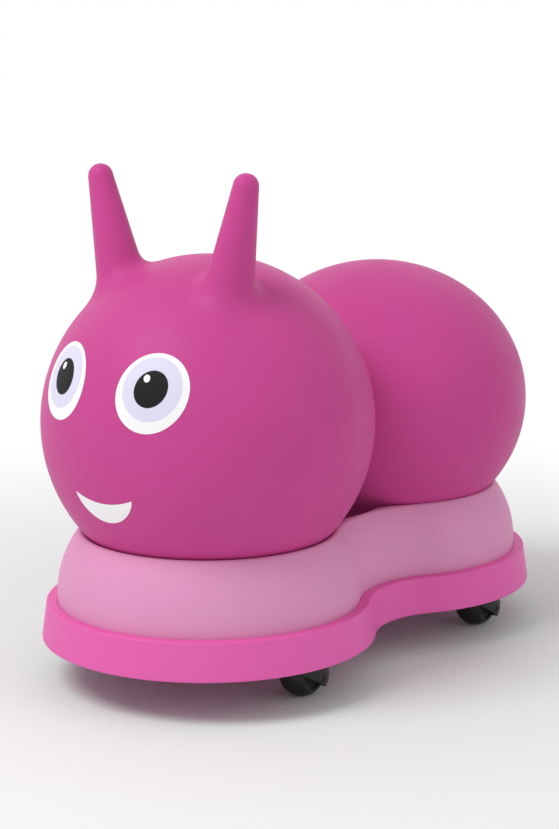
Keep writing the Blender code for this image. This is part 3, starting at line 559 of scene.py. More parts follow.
def skin_field(points):
    """Signed distance, near enough, from the outside of the inflated skin."""
    head = np.linalg.norm(points - HEAD_CENTRE, axis=1) - HEAD_RADIUS
    offset = points - REAR_CENTRE
    near = np.linalg.norm(offset / REAR_AXES, axis=1)
    rear = near * (near - 1) / np.linalg.norm(offset / REAR_AXES ** 2, axis=1)
    field = soft_min(head, rear, WAIST_FILLET)
    for side in (1, -1):
        field = soft_min(field, antenna_field(points, side), ANTENNA_FILLET)
    return field


def settled(points, rounds):
    """Moves points square onto the skin."""
    step = 1e-5
    for _ in range(rounds):
        slope = np.empty_like(points)
        for axis in range(3):
            shift = np.zeros(3)
            shift[axis] = step
            slope[:, axis] = (skin_field(points + shift) - skin_field(points - shift)) / (2 * step)
        distance = skin_field(points) / np.maximum((slope ** 2).sum(axis=1), 1e-9)
        points = points - slope * distance[:, None]
    return points


def relaxed(points, edges, share):
    total = np.zeros_like(points)
    count = np.bincount(edges.ravel(), minlength=len(points))[:, None]
    np.add.at(total, edges[:, 0], points[edges[:, 1]])
    np.add.at(total, edges[:, 1], points[edges[:, 0]])
    return points * (1 - share) + total / np.maximum(count, 1) * share


def valve_place():
    """Matrix of the valve on the rear ball, with Z along the way its plug pulls out."""
    point = Vector((0, REAR_RADIUS * math.cos(VALVE_ANGLE), REAR_HALF_HEIGHT * math.sin(VALVE_ANGLE)))
    normal = Vector((0, point.y / REAR_RADIUS ** 2, point.z / REAR_HALF_HEIGHT ** 2)).normalized()
    turn = normal.to_track_quat("Z", "Y").to_matrix().to_4x4()
    return Matrix.Translation(Vector(REAR_CENTRE) + point) @ turn


def make_skin():
    core = ball(HEAD_CENTRE, (HEAD_RADIUS,) * 3, SKIN_BALL_STEPS)
    parts = [core, ball(REAR_CENTRE, REAR_AXES, SKIN_BALL_STEPS)]
    bend_across, bend_along = ANTENNA_TIP_BEND
    for side in (1, -1):
        foot, way = antenna_line(side)
        lift = Vector(way).to_track_quat("Z", "Y").to_matrix().to_4x4()
        profile = [(ANTENNA_FOOT_RADIUS, -ANTENNA_ROOT_DEPTH), (ANTENNA_TIP_RADIUS, ANTENNA_LENGTH),
                   (ANTENNA_TIP_RADIUS * bend_across, ANTENNA_LENGTH + ANTENNA_TIP_RADIUS * bend_along)]
        antenna = turned(profile, SKIN_ANTENNA_STEPS, closed=False)
        parts.append(moved(antenna, Matrix.Translation(foot) @ lift))
    with bpy.context.temp_override(active_object=core, selected_editable_objects=parts):
        bpy.ops.object.join()
    remesh = core.modifiers.new("skin", "REMESH")
    remesh.mode = "VOXEL"
    remesh.voxel_size = SKIN_VOXEL
    frozen(core)
    mesh = core.data
    points = np.empty(len(mesh.vertices) * 3)
    mesh.vertices.foreach_get("co", points)
    points = points.reshape(-1, 3)
    edges = np.empty(len(mesh.edges) * 2, dtype=np.int64)
    mesh.edges.foreach_get("vertices", edges)
    edges = edges.reshape(-1, 2)
    points = settled(points, 4)
    for _ in range(SKIN_ROUNDS):
        points = settled(relaxed(points, edges, SKIN_EVENING), 2)
    mesh.vertices.foreach_set("co", points.ravel())
    mesh.update()
    bore = moved(rod(VALVE_BORE_RADIUS, -VALVE_BORE_DEPTH, OVERCUT, 48), valve_place())
    carved(core, ("DIFFERENCE", bore))
    finished(core, "inflated_skin", VINYL, "hopper", "pink_vinyl", "hopper_skin", angle=50)


def make_valve():
    seat = rounded([
        (VALVE_BORE_RADIUS, -VALVE_SEAT_DEPTH), (VALVE_BORE_RADIUS, VALVE_RECESS_HEIGHT),
        (VALVE_RECESS_RADIUS, VALVE_RECESS_HEIGHT), (VALVE_RECESS_RADIUS, VALVE_SEAT_TOP),
        (VALVE_SEAT_RADIUS, VALVE_SEAT_TOP), (VALVE_SEAT_RADIUS + VALVE_SEAT_SPREAD, -VALVE_SEAT_DEPTH),
    ], VALVE_ROUNDING)
    place = valve_place()
    finished(moved(turned(seat, 64), place), "valve_seat", VINYL, "hopper", "pink_vinyl")
    shank = VALVE_BORE_RADIUS - GAP
    neck = shank - PLUG_NECK_INSET
    shank_end, shank_start = PLUG_SHANK_HEIGHTS
    side = rounded([
        (shank * PLUG_END_SHARE, PLUG_END_HEIGHT), (shank, shank_end), (shank, shank_start),
        (neck, PLUG_NECK_HEIGHT), (neck, GAP), (PLUG_HEAD[0][0], GAP), *PLUG_HEAD,
    ], VALVE_ROUNDING)
    profile = [(PLUG_MIDDLE_RADIUS, PLUG_END_HEIGHT), *side, (PLUG_MIDDLE_RADIUS, PLUG_DIMPLE_HEIGHT)]
    tab = block(TAB_HALF_WIDTH, TAB_HALF_LENGTH, *TAB_HEIGHTS)
    plug = carved(turned(profile, 48, closed=False), ("UNION", tab))
    finished(moved(plug, place), "valve_stopper", VINYL, "valve_plug", "pink_vinyl", "valve_plug")


# Printed face

def head_points(azimuth, elevation, flat, height):
    """Points over the head, arcs of the given lengths away from a place on its surface."""
    facing = np.array((math.sin(azimuth) * math.cos(elevation), -math.cos(azimuth) * math.cos(elevation),
                       math.sin(elevation)))
    right = np.array((math.cos(azimuth), math.sin(azimuth), 0.0))
    up = np.cross(facing, right)
    away = flat[:, :1] * right + flat[:, 1:] * up
    reach = np.linalg.norm(away, axis=1)[:, None]
    bend = reach / HEAD_RADIUS
    direction = facing * np.cos(bend) + away / np.maximum(reach, 1e-12) * np.sin(bend)
    return HEAD_CENTRE + direction * (HEAD_RADIUS + height)


def ellipse_rows(shape, steps, rings):
    centre_u, centre_v, long_half, short_half, tilt = shape
    angles = np.arange(steps) * (2 * math.pi / steps)
    along = long_half * np.cos(angles)
    across = short_half * np.sin(angles)
    outline = np.column_stack((along * math.cos(tilt) - across * math.sin(tilt),
                               along * math.sin(tilt) + across * math.cos(tilt)))
    middle = np.array((centre_u, centre_v))
    return [middle + outline * (ring / rings) for ring in range(rings + 1)]


def make_disc(name, node, azimuth, shape, level, material, slot):
    """A printed ellipse: a thin closed layer that follows the head."""
    rows = ellipse_rows(shape, EYE_STEPS, EYE_RINGS)
    base = INK_CLEARANCE + level * (INK_THICKNESS + INK_LAYER_GAP)
    sheets = [head_points(azimuth, EYE_ELEVATION, row, base) for row in rows]
    crown = [head_points(azimuth, EYE_ELEVATION, row, base + INK_THICKNESS) for row in reversed(rows)]
    disc = loft(sheets + crown, caps=False, merge=WELD)
    finished(disc, name, material, "hopper", slot, node)


def make_eyes():
    inks = {"white": (WHITE_INK, "white_ink"), "iris": (LAVENDER_INK, "lavender_ink"),
            "pupil": (BLACK_INK, "black_ink"), "glint": (WHITE_INK, "white_ink")}
    for side_name, side in (("left", 1), ("right", -1)):
        for level, (layer, shape) in enumerate(EYE_LAYERS.items()):
            if side < 0 and layer != "glint":
                shape = (-shape[0], *shape[1:4], math.pi - shape[4])
            material, slot = inks[layer]
            name = f"{side_name}_eye_{layer}"
            make_disc(f"{name}_print", name, side * EYE_AZIMUTH, shape, level, material, slot)


def make_mouth():
    share = -np.cos(np.linspace(0, math.pi, MOUTH_COLUMNS))
    depth = np.maximum(0.0, 1 - share ** 2)
    top = MOUTH_CORNER_HEIGHT - MOUTH_TOP_SAG * depth
    bottom = MOUTH_CORNER_HEIGHT - MOUTH_BOTTOM_SAG * depth ** MOUTH_ROUNDNESS
    u = share * MOUTH_HALF_WIDTH
    rows = [np.column_stack((u, top + (bottom - top) * row / MOUTH_ROWS)) for row in range(MOUTH_ROWS + 1)]
    sheets = []
    for height in (INK_CLEARANCE, INK_CLEARANCE + INK_THICKNESS):
        sheets.append([head_points(MOUTH_AZIMUTH, MOUTH_ELEVATION, row, height) for row in rows])
    rings = []
    for column in range(MOUTH_COLUMNS):
        down = [row[column] for row in sheets[0]]
        back = [row[column] for row in reversed(sheets[1])]
        rings.append(np.array(down + back))
    smile = loft(rings, caps=False, merge=WELD)
    finished(smile, "smile_print", WHITE_INK, "hopper", "white_ink", "mouth_print")


# Tray

def outline_plan():
    """For each point round the tray's plan, the arc it lies on and how far along that arc."""
    arcs = []
    shares = []
    for arc_number, steps in ((0, LOBE_STEPS), (1, WAIST_STEPS), (2, LOBE_STEPS), (3, WAIST_STEPS)):
        inside = range(steps + 1) if arc_number % 2 == 0 else range(1, steps)
        for step in inside:
            arcs.append(arc_number)
            shares.append(step / steps)
    return np.array(arcs), np.array(shares)


ARC, SHARE = outline_plan()


def outline(radius, waist):
    """Plan points of the two lobes and the hollow arcs between them."""
    lobe = np.broadcast_to(radius, ARC.shape)
    hollow = np.broadcast_to(waist, ARC.shape)
    across = np.sqrt((lobe + hollow) ** 2 - HALF_SPACING ** 2)
    reach = np.arctan2(HALF_SPACING, across)
    round_angle = (math.pi + 2 * reach) * SHARE
    hollow_angle = -2 * reach * SHARE
    angle = np.choose(ARC, (math.pi - reach + round_angle, math.pi + reach + hollow_angle,
                            -reach + round_angle, reach + hollow_angle))
    centre_x = np.choose(ARC, (0 * across, across, 0 * across, -across))
    centre_y = np.choose(ARC, (-HALF_SPACING, 0.0, HALF_SPACING, 0.0))
    size = np.where(ARC % 2 == 0, lobe, hollow)
    return centre_x + size * np.cos(angle), centre_y + size * np.sin(angle)


def ring(radius, waist, z):
    x, y = outline(radius, waist)
    return np.column_stack((x, y, np.broadcast_to(z, x.shape)))


def shell_sizes(z):
    share = np.clip((z - BAND_TOP) / (RIM_TOP - BAND_TOP), 0.0, 1.0)
    radius = SHELL_FOOT_RADIUS - (SHELL_FOOT_RADIUS - RIM_RADIUS) * share ** WALL_BULGE
    return radius, SHELL_WAIST + (RIM_WAIST - SHELL_WAIST) * share


def shell_plan(z, inset):
    radius, waist = shell_sizes(z)
    return outline(radius - inset, waist + inset)


def shell_ring(z, inset):
    x, y = shell_plan(z, inset)
    return np.column_stack((x, y, np.broadcast_to(z, x.shape)))


def foot_ring(z, inset):
    """Ring at an inset from the foot of the shell's wall."""
    return ring(SHELL_FOOT_RADIUS - inset, SHELL_WAIST + inset, z)


def band_ring(z, inset):
    share = (z - BAND_FOOT) / (BAND_TOP - BAND_SHOULDER_ROUNDING - BAND_FOOT)
    inset = inset + BAND_LEAN * min(1.0, share)
    return ring(BAND_FOOT_RADIUS - inset, BAND_WAIST + inset, z)


def hollow_depth(x, y, centre_y, axes, growth):
    """How far below its centre a ball's underside lies over a place in the plan."""
    wide_x, wide_y, deep = (size + growth for size in axes)
    left = 1 - (x / wide_x) ** 2 - ((y - centre_y) / wide_y) ** 2
    return deep * np.sqrt(np.maximum(left, 0.0)) + 0.05 * np.minimum(left, 0.0)


def dish_height(x, y, growth):
    head = HEAD_CENTRE[2] - hollow_depth(x, y, -HALF_SPACING, (HEAD_RADIUS,) * 3, growth)
    rear = REAR_CENTRE[2] - hollow_depth(x, y, HALF_SPACING, REAR_AXES, growth)
    trough = RIM_TOP - hollow_depth(x, y, 0.0, TROUGH_AXES, growth - SEAT_GAP)
    return soft_min(soft_min(head, rear, BOWL_FILLET), trough, BOWL_FILLET)


def inward(x, y, shares):
    """Rings of plan points that close in on the line between the two lobes' axes."""
    middle = np.clip(y, -HALF_SPACING, HALF_SPACING)
    return [(x * (1 - share), y + (middle - y) * share) for share in shares]


def opening_prism(corners, side, lobe_y):
    plan = rounded([(side * x, lobe_y + y) for x, y in corners], OPENING_CORNER, steps=6)
    return prism(plan, BAND_TOP, RIM_TOP + OVERCUT)


def screw_places():
    places = [(WAIST_SCREW_X, 0.0), (-WAIST_SCREW_X, 0.0)]
    for end in (-1, 1):
        for side in (-1, 1):
            x = side * SCREW_CIRCLE * math.sin(SCREW_ANGLE)
            places.append((x, end * (HALF_SPACING + SCREW_CIRCLE * math.cos(SCREW_ANGLE))))
    return places


def stem_places():
    return {corner: (x * STEM_X, y * STEM_Y) for corner, (x, y) in CORNERS.items()}


def make_shell():
    rings = []
    outer_levels = np.linspace(SHELL_BOTTOM + EDGE_ROUNDING, RIM_TOP - RIM_ROUNDING, 15)
    rings.append(shell_ring(SHELL_BOTTOM, EDGE_ROUNDING))
    for level in outer_levels:
        rings.append(shell_ring(level, 0.0))
    for bend in (22.5, 45, 67.5, 90):
        angle = math.radians(bend)
        level = RIM_TOP - RIM_ROUNDING * (1 - math.sin(angle))
        rings.append(shell_ring(level, RIM_ROUNDING * (1 - math.cos(angle))))
    x, y = rings[-1][:, 0], rings[-1][:, 1]
    rim = np.full(ARC.shape, RIM_TOP)
    for ring_x, ring_y in inward(x, y, DISH_SHARES):
        top = soft_min(dish_height(ring_x, ring_y, SEAT_GAP), rim, RIM_INNER_ROUNDING)
        rings.append(np.column_stack((ring_x, ring_y, top)))

    low = np.full(ARC.shape, SHELL_BOTTOM)
    high = np.full(ARC.shape, RIM_TOP - SHELL_WALL)
    back = SEAT_GAP + DISH_WALL
    for _ in range(WALL_HALVINGS):
        middle = (low + high) / 2
        above = middle > dish_height(*shell_plan(middle, SHELL_WALL), back)
        high = np.where(above, middle, high)
        low = np.where(above, low, middle)
    meeting = (low + high) / 2
    x, y = shell_plan(meeting, SHELL_WALL)
    for ring_x, ring_y in reversed(inward(x, y, np.linspace(0.05, 1.0, 18))):
        under = np.minimum(dish_height(ring_x, ring_y, back), RIM_TOP - SHELL_WALL)
        rings.append(np.column_stack((ring_x, ring_y, under)))
    for share in np.linspace(1.0, 0.0, 9):
        rings.append(shell_ring(SHELL_BOTTOM + (meeting - SHELL_BOTTOM) * share, SHELL_WALL))
    shell = loft(rings, closed=True, merge=WELD)

    cuts = []
    for side in (1, -1):
        cuts.append(("DIFFERENCE", opening_prism(FRONT_OPENING, side, -HALF_SPACING)))
        cuts.append(("DIFFERENCE", opening_prism(WAIST_OPENING, side, HALF_SPACING)))
        x, y, radius = KEYHOLE_BIG
        big = rod(radius, BAND_TOP, RIM_TOP + OVERCUT, 48, (side * x, HALF_SPACING + y))
        x, y, radius = KEYHOLE_SMALL
        small = rod(radius, BAND_TOP - OVERCUT, RIM_TOP + 2 * OVERCUT, 32, (side * x, HALF_SPACING + y))
        centre = rod(CENTRE_HOLE_RADIUS, BAND_TOP, RIM_TOP + OVERCUT, 90, (0.0, side * HALF_SPACING))
        cuts += [("DIFFERENCE", big), ("DIFFERENCE", small), ("DIFFERENCE", centre)]
    mirrored = [(-x, y) for x, y in reversed(REAR_OPENING)]
    cuts.append(("DIFFERENCE", opening_prism([*REAR_OPENING, *mirrored], 1, HALF_SPACING)))
    for x, y in stem_places().values():
        inner = x - math.copysign(STEM_SLOT_INSET, x)
        ahead = y - STEM_SLOT_AHEAD + math.copysign(STEM_SLOT_SPREAD, y)
        slot = block(STEM_SLOT_LENGTH / 2, STEM_SLOT_WIDTH / 2, SOCKET_TOP + OVERCUT, RIM_TOP + OVERCUT,
                     (inner, ahead))
        cuts.append(("DIFFERENCE", slot))
    for place in screw_places():
        cuts.append(("UNION", rod(POST_RADIUS, SHELL_BOTTOM + GAP, POST_TOP, 24, place)))
    bore_top = SCREW_SEAT + SCREW_LENGTH + OVERCUT
    for place in screw_places():
        bore = rod(SCREW_RADIUS + GAP, SHELL_BOTTOM - OVERCUT, bore_top, 20, place)
        cuts.append(("DIFFERENCE", bore))
    carved(shell, *cuts)
    finished(shell, "dish_shell", SHELL, "base", "light_pink_plastic", "tray_shell", angle=32)


def make_base():
    rings = []
    rings.append(band_ring(BAND_FOOT, BAND_WALL))
    for bend in (90, 67.5, 45, 22.5, 0):
        angle = math.radians(bend)
        rings.append(band_ring(BAND_FOOT + BAND_FOOT_ROUNDING * (1 - math.sin(angle)),
                               BAND_FOOT_ROUNDING * (1 - math.cos(angle))))
    shoulder = BAND_TOP - BAND_SHOULDER_ROUNDING
    rings += [band_ring(level, 0.0) for level in np.linspace(BAND_FOOT + BAND_SIDE_START, shoulder, 8)]
    for bend in np.linspace(11.25, 90, 8):
        angle = math.radians(bend)
        rings.append(band_ring(shoulder + BAND_SHOULDER_ROUNDING * math.sin(angle),
                               BAND_SHOULDER_ROUNDING * (1 - math.cos(angle))))
    rings.append(shell_ring(BAND_TOP, -GAP - EDGE_BREAK))
    rings.append(shell_ring(BAND_TOP - EDGE_BREAK, -GAP))
    rings.append(foot_ring((BAND_TOP + WEB_TOP) / 2, -GAP))
    rings.append(foot_ring(WEB_TOP, -GAP))
    rings.append(foot_ring(WEB_TOP, WEB_MIDDLE_WIDTH))
    rings.append(foot_ring(WEB_TOP, WEB_WIDTH - EDGE_ROUNDING))
    rings.append(foot_ring(WEB_TOP - EDGE_ROUNDING, WEB_WIDTH))
    rings.append(foot_ring(WEB_BOTTOM + EDGE_ROUNDING, WEB_WIDTH))
    rings.append(foot_ring(WEB_BOTTOM, WEB_WIDTH - EDGE_ROUNDING))
    rings.append(band_ring(WEB_BOTTOM, BAND_WALL))
    rings.append(band_ring((WEB_BOTTOM + BAND_FOOT) / 2, BAND_WALL))
    base = loft(rings, closed=True)

    steps = []
    under = WEB_BOTTOM - OVERCUT
    over = WEB_TOP + OVERCUT
    web_middle = (WEB_BOTTOM + WEB_TOP) / 2
    for place in stem_places().values():
        steps.append(("UNION", rod(PAD_RADIUS, WEB_BOTTOM, WEB_TOP, 72, place)))
    inside = loft([foot_ring(level, -GAP) for level in (under, over)])
    for _, pad in steps:
        trim = pad.modifiers.new("trim", "BOOLEAN")
        trim.operation = "INTERSECT"
        trim.object = inside
        frozen(pad)
    bpy.data.objects.remove(inside)
    socket = rounded([(SOCKET_RADIUS, web_middle), (SOCKET_RADIUS, SOCKET_TOP),
                      (SOCKET_MIDDLE_RADIUS, SOCKET_TOP)], SOCKET_ROUNDING, closed=False)
    socket.insert(0, (SOCKET_MIDDLE_RADIUS, web_middle))
    for place in stem_places().values():
        tube = moved(turned(socket, 48, closed=False), Matrix.Translation((*place, 0)))
        steps.append(("UNION", tube))
    for corner, (x, y) in stem_places().items():
        steps.append(("DIFFERENCE", rod(SOCKET_BORE_RADIUS, under, SOCKET_BORE_TOP, 48, (x, y))))
        for ear_x, ear_y in ear_offsets(MOUNT_TURNS[corner]):
            hole = rod(EAR_RADIUS + GAP, under, over, 32, (x + ear_x, y + ear_y))
            steps.append(("DIFFERENCE", hole))
    for place in screw_places():
        steps.append(("DIFFERENCE", rod(SCREW_RADIUS + GAP, under, over, 20, place)))
    carved(base, *steps)
    finished(base, "bumper_frame", BAND, "base", "hot_pink_plastic", "bumper_base", angle=32)


def make_screws():
    crown = SCREW_SEAT - SCREW_HEAD_HEIGHT
    head = [(SCREW_HEAD_RADIUS * wide, crown + SCREW_HEAD_HEIGHT * rise) for wide, rise in SCREW_HEAD_SHARES]
    tip_start, tip_width = SCREW_TIP_SHARES
    side = rounded([
        *head, (SCREW_HEAD_RADIUS, SCREW_SEAT), (SCREW_RADIUS, SCREW_SEAT),
        (SCREW_RADIUS, SCREW_SEAT + SCREW_LENGTH * tip_start),
    ], SCREW_ROUNDING)
    tip = (SCREW_RADIUS * tip_width, SCREW_SEAT + SCREW_LENGTH)
    profile = [(SCREW_MIDDLE_RADIUS, crown), *side, tip]
    for number, (x, y) in enumerate(screw_places(), 1):
        screw = turned(profile, 36, closed=False)
        slots = []
        for half_x, half_y in SCREW_CROSS:
            slot = block(half_x, half_y, crown - SCREW_CROSS_OVERCUT, crown + SCREW_CROSS_DEPTH)
            slots.append(("DIFFERENCE", slot))
        carved(screw, *slots)
        moved(screw, Matrix.Translation((x, y, 0)))
        finished(screw, f"cross_head_screw_{number}", STEEL, "base", "steel", f"tray_screw_{number}")


# Casters

def ear_offsets(turn):
    angles = [math.radians(angle + turn) for angle in EAR_ANGLES]
    return [(EAR_CIRCLE * math.cos(angle), EAR_CIRCLE * math.sin(angle)) for angle in angles]


def pocket(turn):
    """Oval sunk in a flange's top, its long way round the stem."""
    oval = circle(0.5, 0.0, 28)
    out = POCKET_CIRCLE + oval[:, 0] * POCKET_WIDTH
    along = oval[:, 1] * POCKET_LENGTH
    x = out * math.cos(turn) - along * math.sin(turn)
    y = out * math.sin(turn) + along * math.cos(turn)
    return prism(np.column_stack((x, y)), FLANGE_TOP - POCKET_DEPTH, FLANGE_TOP + OVERCUT)


def caster_top():
    profile = rounded([
        (STEM_BORE_RADIUS, STEM_TOP), (STEM_RADIUS, STEM_TOP), (STEM_RADIUS, FLANGE_TOP),
        (FLANGE_RADIUS, FLANGE_TOP), (FLANGE_RADIUS, FLANGE_BOTTOM), (KINGPIN_BORE_RADIUS, FLANGE_BOTTOM),
        (KINGPIN_BORE_RADIUS, FLANGE_FLOOR_TOP), (STEM_BORE_RADIUS, FLANGE_FLOOR_TOP),
    ], MOUNT_ROUNDING, steps=3)
    ear = rounded([
        (SLEEVE_BORE_RADIUS, EAR_BOTTOM), (SLEEVE_BORE_RADIUS, SLEEVE_TOP), (SLEEVE_RADIUS, SLEEVE_TOP),
        (SLEEVE_RADIUS, EAR_TOP), (EAR_RADIUS, EAR_TOP), (EAR_RADIUS, EAR_BOTTOM),
    ], EAR_ROUNDING, steps=3)
    steps = []
    for x, y in ear_offsets(0):
        steps.append(("UNION", moved(turned(ear, 32), Matrix.Translation((x, y, 0)))))
    for index in range(POCKET_COUNT):
        steps.append(("DIFFERENCE", pocket(math.radians(POCKET_START + 360 * index / POCKET_COUNT))))
    return carved(turned(profile, 72), *steps)


def along_axle(thing):
    lying = Matrix.Rotation(math.pi / 2, 4, "Y")
    return moved(thing, Matrix.Translation((0, CASTER_TRAIL, WHEEL_RADIUS)) @ lying)


def hood_ring(centre_y, radius, z):
    """Ring of the hood: round behind its centre, and stretched before it to the shoulder's front."""
    unit = circle(1.0, z, CASTER_STEPS)
    reach = np.where(unit[:, 1] > 0, radius, centre_y + HOOD_SHOULDER_RADIUS)
    return np.column_stack((unit[:, 0] * radius, centre_y + unit[:, 1] * reach, unit[:, 2]))


def caster_hood():
    rings = []
    for height in np.linspace(HOOD_SKIRT_HEIGHT, WHEEL_RADIUS, 7)[:-1]:
        radius = math.sqrt(HOOD_RADIUS ** 2 - (WHEEL_RADIUS - height) ** 2)
        rings.append(circle(radius, height, CASTER_STEPS, (0, CASTER_TRAIL)))
    for share in np.linspace(0, 1, 17):
        radius = HOOD_RADIUS + (HOOD_SHOULDER_RADIUS - HOOD_RADIUS) * share ** 2
        height = WHEEL_RADIUS + (HOOD_SHOULDER_HEIGHT - WHEEL_RADIUS) * share
        rings.append(hood_ring(CASTER_TRAIL * (1 - share ** 2), radius, height))
    for radius, height in (
        (HOOD_SHOULDER_RADIUS - HOOD_EDGE, HOOD_NECK_BOTTOM), (HOOD_NECK_RADIUS, HOOD_NECK_BOTTOM),
        (HOOD_NECK_RADIUS, HOOD_TOP - HOOD_EDGE), (HOOD_NECK_RADIUS - EDGE_BREAK, HOOD_TOP - EDGE_BREAK),
        (HOOD_NECK_RADIUS - HOOD_EDGE, HOOD_TOP),
    ):
        rings.append(circle(radius, height, CASTER_STEPS))
    hood = loft(rings)

    cavity = ball((0, CASTER_TRAIL, WHEEL_RADIUS), (HOOD_CAVITY_RADIUS,) * 3, 64)
    start = WHEEL_HALF_WIDTH + GAP
    end = HOOD_RADIUS + OVERCUT
    bosses = [along_axle(rod(HOOD_BOSS_RADIUS, *span, 32)) for span in ((start, end), (-end, -start))]
    carved(cavity, *[("DIFFERENCE", boss) for boss in bosses])

    front_y = -HOOD_RADIUS
    rear_y = front_y + (HOOD_CUT_HEIGHT - HOOD_SKIRT_HEIGHT + OVERCUT) / math.tan(HOOD_CUT_ANGLE)
    mouth = ((front_y, HOOD_SKIRT_HEIGHT - OVERCUT), (rear_y, HOOD_SKIRT_HEIGHT - OVERCUT),
             (front_y, HOOD_CUT_HEIGHT))
    wedge = loft([np.array([(x, y, z) for y, z in mouth]) for x in (-end, end)])
    ports = []
    for azimuth in HOOD_PORT_AZIMUTHS:
        lie = Matrix.Rotation(math.radians(azimuth), 4, "Z") @ Matrix.Rotation(math.pi / 2, 4, "Y")
        port = rod(HOOD_PORT_RADIUS, HOOD_PORT_START, end, 24)
        ports.append(moved(port, Matrix.Translation((0, 0, HOOD_PORT_HEIGHT)) @ lie))
    bore = rod(KINGPIN_BORE_RADIUS, WHEEL_RADIUS, HOOD_TOP + OVERCUT, 32)
    head_bore = rod(KINGPIN_HEAD_BORE_RADIUS, WHEEL_RADIUS, KINGPIN_SEAT, 32)
    axle_bore = along_axle(rod(AXLE_RADIUS + GAP, -end, end, 24))
    tools = (cavity, wedge, *ports, bore, head_bore, axle_bore)
    return carved(hood, *[("DIFFERENCE", tool) for tool in tools])


def caster_ball():
    bend = math.asin(WHEEL_HALF_WIDTH / WHEEL_RADIUS)
    tread = []
    for angle in np.linspace(-bend, bend, 25):
        tread.append((WHEEL_RADIUS * math.cos(angle), WHEEL_RADIUS * math.sin(angle)))
    side = tread[0][0]
    bore = AXLE_RADIUS + GAP
    half = WHEEL_HALF_WIDTH
    floor = -half + WHEEL_DISH_DEPTH
    dish = rounded([(bore, -half), (WHEEL_HUB_RADIUS, -half), (WHEEL_DISH_RADIUS, floor),
                    (side - WHEEL_DISH_INSET, floor), (side - WHEEL_RIM_INSET, -half)], WHEEL_ROUNDING)
    profile = dish + tread + [(radius, -along) for radius, along in reversed(dish)]
    return moved(turned(profile, CASTER_STEPS), Matrix.Rotation(math.pi / 2, 4, "Y"))


def caster_pin():
    half = AXLE_HALF_LENGTH
    ends = rounded([(AXLE_MIDDLE_RADIUS, -half), (AXLE_RADIUS, -half), (AXLE_RADIUS, half),
                    (AXLE_MIDDLE_RADIUS, half)], AXLE_ROUNDING, closed=False)
    return moved(turned(ends, 32, closed=False), Matrix.Rotation(math.pi / 2, 4, "Y"))


def make_casters():
    masters = {"top": caster_top(), "hood": caster_hood(), "ball": caster_ball(), "pin": caster_pin()}
    to_wheel = Matrix.Translation((0, CASTER_TRAIL, WHEEL_RADIUS))
    for corner, (x, y) in stem_places().items():
        stem = Matrix.Translation((x, y, 0))
        mount_turn = Matrix.Rotation(math.radians(MOUNT_TURNS[corner]), 4, "Z")
        made = {}
        for name, place in (("top", stem @ mount_turn), ("hood", stem), ("ball", stem @ to_wheel),
                            ("pin", stem @ to_wheel)):
            made[name] = moved(new_object(name, masters[name].data.copy()), place)
        caster = f"caster_{corner}"
        for part, name, material, body, node in (
            ("top", "top", BLACK, "stem", "mount"), ("hood", "cover", BLACK, "swivel", "hood"),
            ("ball", "ball", WHEEL_BLACK, "wheel", "wheel"), ("pin", "pin", BLACK, "swivel", "axle"),
        ):
            finished(made[part], f"{caster}_{name}", material, f"{corner}_{body}", "black_plastic",
                     f"{caster}_{node}")
        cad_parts[f"{caster}_kingpin"].material_slots[0].material = STEEL
        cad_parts[f"{caster}_washer"].material_slots[0].material = WASHER
    for master in masters.values():
        bpy.data.objects.remove(master)


# Studio

def look_from(place, target):
    return (Vector(target) - Vector(place)).to_track_quat("-Z", "Y").to_euler()


def add_softbox(name, place, size, watts):
    """Round lamp at a place that is given as seen from the camera's side."""
    left = Vector((-math.cos(CAMERA_AZIMUTH), -math.sin(CAMERA_AZIMUTH), 0))
    toward = Vector((math.sin(CAMERA_AZIMUTH), -math.cos(CAMERA_AZIMUTH), 0))
    up = Vector((0, 0, 1))
    data = bpy.data.lights.new(name, "AREA")
    data.shape = "DISK"
    data.size = size
    data.energy = watts
    lamp = new_object(name, data)
    lamp.location = left * place[0] + toward * place[1] + up * place[2]
    lamp.rotation_euler = look_from(lamp.location, LAMP_TARGET)


def seen_rays(tree):
    """1 for rays that show the background: from the camera, off gloss and through glass."""
    rays = tree.nodes.new("ShaderNodeLightPath")
    total = rays.outputs["Is Camera Ray"]
    for kind in ("Is Glossy Ray", "Is Transmission Ray"):
        larger = tree.nodes.new("ShaderNodeMath")
        larger.operation = "MAXIMUM"
        tree.links.new(total, larger.inputs[0])
        tree.links.new(rays.outputs[kind], larger.inputs[1])
        total = larger.outputs["Value"]
    return total


def mixed_shader(tree, factor, first, second):
    node = tree.nodes.new("ShaderNodeMixShader")
    tree.links.new(factor, node.inputs["Fac"])
    tree.links.new(first, node.inputs[1])
    tree.links.new(second, node.inputs[2])
    return node.outputs["Shader"]


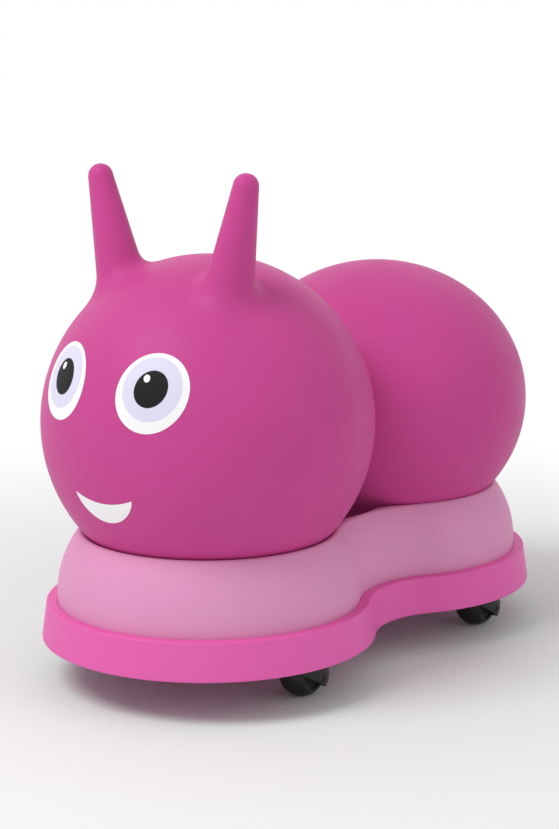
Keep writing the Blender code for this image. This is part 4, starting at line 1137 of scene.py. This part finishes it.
def make_floor():
    """Pale floor that keeps the object's shadow and fades to the white background further out."""
    half = FLOOR_HALF
    corners = [(-half, -half, 0), (half, -half, 0), (half, half, 0), (-half, half, 0)]
    floor = body_from(corners, [(0, 1, 2, 3)])
    floor.name = "studio_floor"
    material, tree, shader = shader_nodes("studio_floor")
    shader.inputs["Roughness"].default_value = FLOOR_ROUGHNESS
    shader.inputs["Specular IOR Level"].default_value = FLOOR_GLOSS
    white = tree.nodes.new("ShaderNodeEmission")
    white.inputs["Color"].default_value = WHITE
    white.inputs["Strength"].default_value = 1.0
    away = tree.nodes.new("ShaderNodeVectorMath")
    away.operation = "LENGTH"
    tree.links.new(tree.nodes.new("ShaderNodeTexCoord").outputs["Object"], away.inputs[0])
    changes = []
    for nearest, furthest in (FLOOR_TINT_SPAN, FLOOR_FADE_SPAN):
        change = tree.nodes.new("ShaderNodeMapRange")
        change.interpolation_type = "SMOOTHSTEP"
        change.inputs["From Min"].default_value = nearest
        change.inputs["From Max"].default_value = furthest
        tree.links.new(away.outputs["Value"], change.inputs["Value"])
        changes.append(change.outputs["Result"])
    tree.links.new(tinted(tree, changes[0], FLOOR_NEAR_TINT, FLOOR_FAR_TINT), shader.inputs["Base Color"])
    share = tree.nodes.new("ShaderNodeMath")
    share.operation = "MULTIPLY"
    tree.links.new(changes[1], share.inputs[0])
    tree.links.new(seen_rays(tree), share.inputs[1])
    shown = mixed_shader(tree, share.outputs["Value"], shader.outputs["BSDF"], white.outputs["Emission"])
    tree.links.new(shown, tree.nodes["Material Output"].inputs["Surface"])
    floor.data.materials.append(material)


def make_world():
    world = bpy.data.worlds.new("studio")
    world.use_nodes = True
    tree = world.node_tree
    ambient = tree.nodes["Background"]
    ambient.inputs["Color"].default_value = WHITE
    ambient.inputs["Strength"].default_value = AMBIENT
    backdrop = tree.nodes.new("ShaderNodeBackground")
    backdrop.inputs["Color"].default_value = WHITE
    backdrop.inputs["Strength"].default_value = 1.0
    shown = mixed_shader(tree, seen_rays(tree), ambient.outputs["Background"],
                         backdrop.outputs["Background"])
    tree.links.new(shown, tree.nodes["World Output"].inputs["Surface"])
    bpy.context.scene.world = world


def make_lamps():
    add_softbox("key", KEY_PLACE, KEY_SIZE, KEY_WATTS)
    add_softbox("fill", FILL_PLACE, FILL_SIZE, FILL_WATTS)


def make_camera():
    data = bpy.data.cameras.new("camera")
    data.sensor_width = CAMERA_SENSOR
    data.sensor_fit = "AUTO"
    data.lens = CAMERA_LENS
    camera = new_object("camera", data)
    back = Vector((math.sin(CAMERA_AZIMUTH) * math.cos(CAMERA_PITCH),
                   -math.cos(CAMERA_AZIMUTH) * math.cos(CAMERA_PITCH), math.sin(CAMERA_PITCH)))
    camera.location = CAMERA_TARGET + back * CAMERA_DISTANCE
    camera.rotation_euler = look_from(camera.location, CAMERA_TARGET)
    bpy.context.scene.camera = camera


make_camera()
make_skin()
make_valve()
make_eyes()
make_mouth()
make_shell()
make_base()
make_screws()
make_casters()
make_floor()
make_world()
make_lamps()
bpy.context.scene.view_settings.view_transform = "Standard"
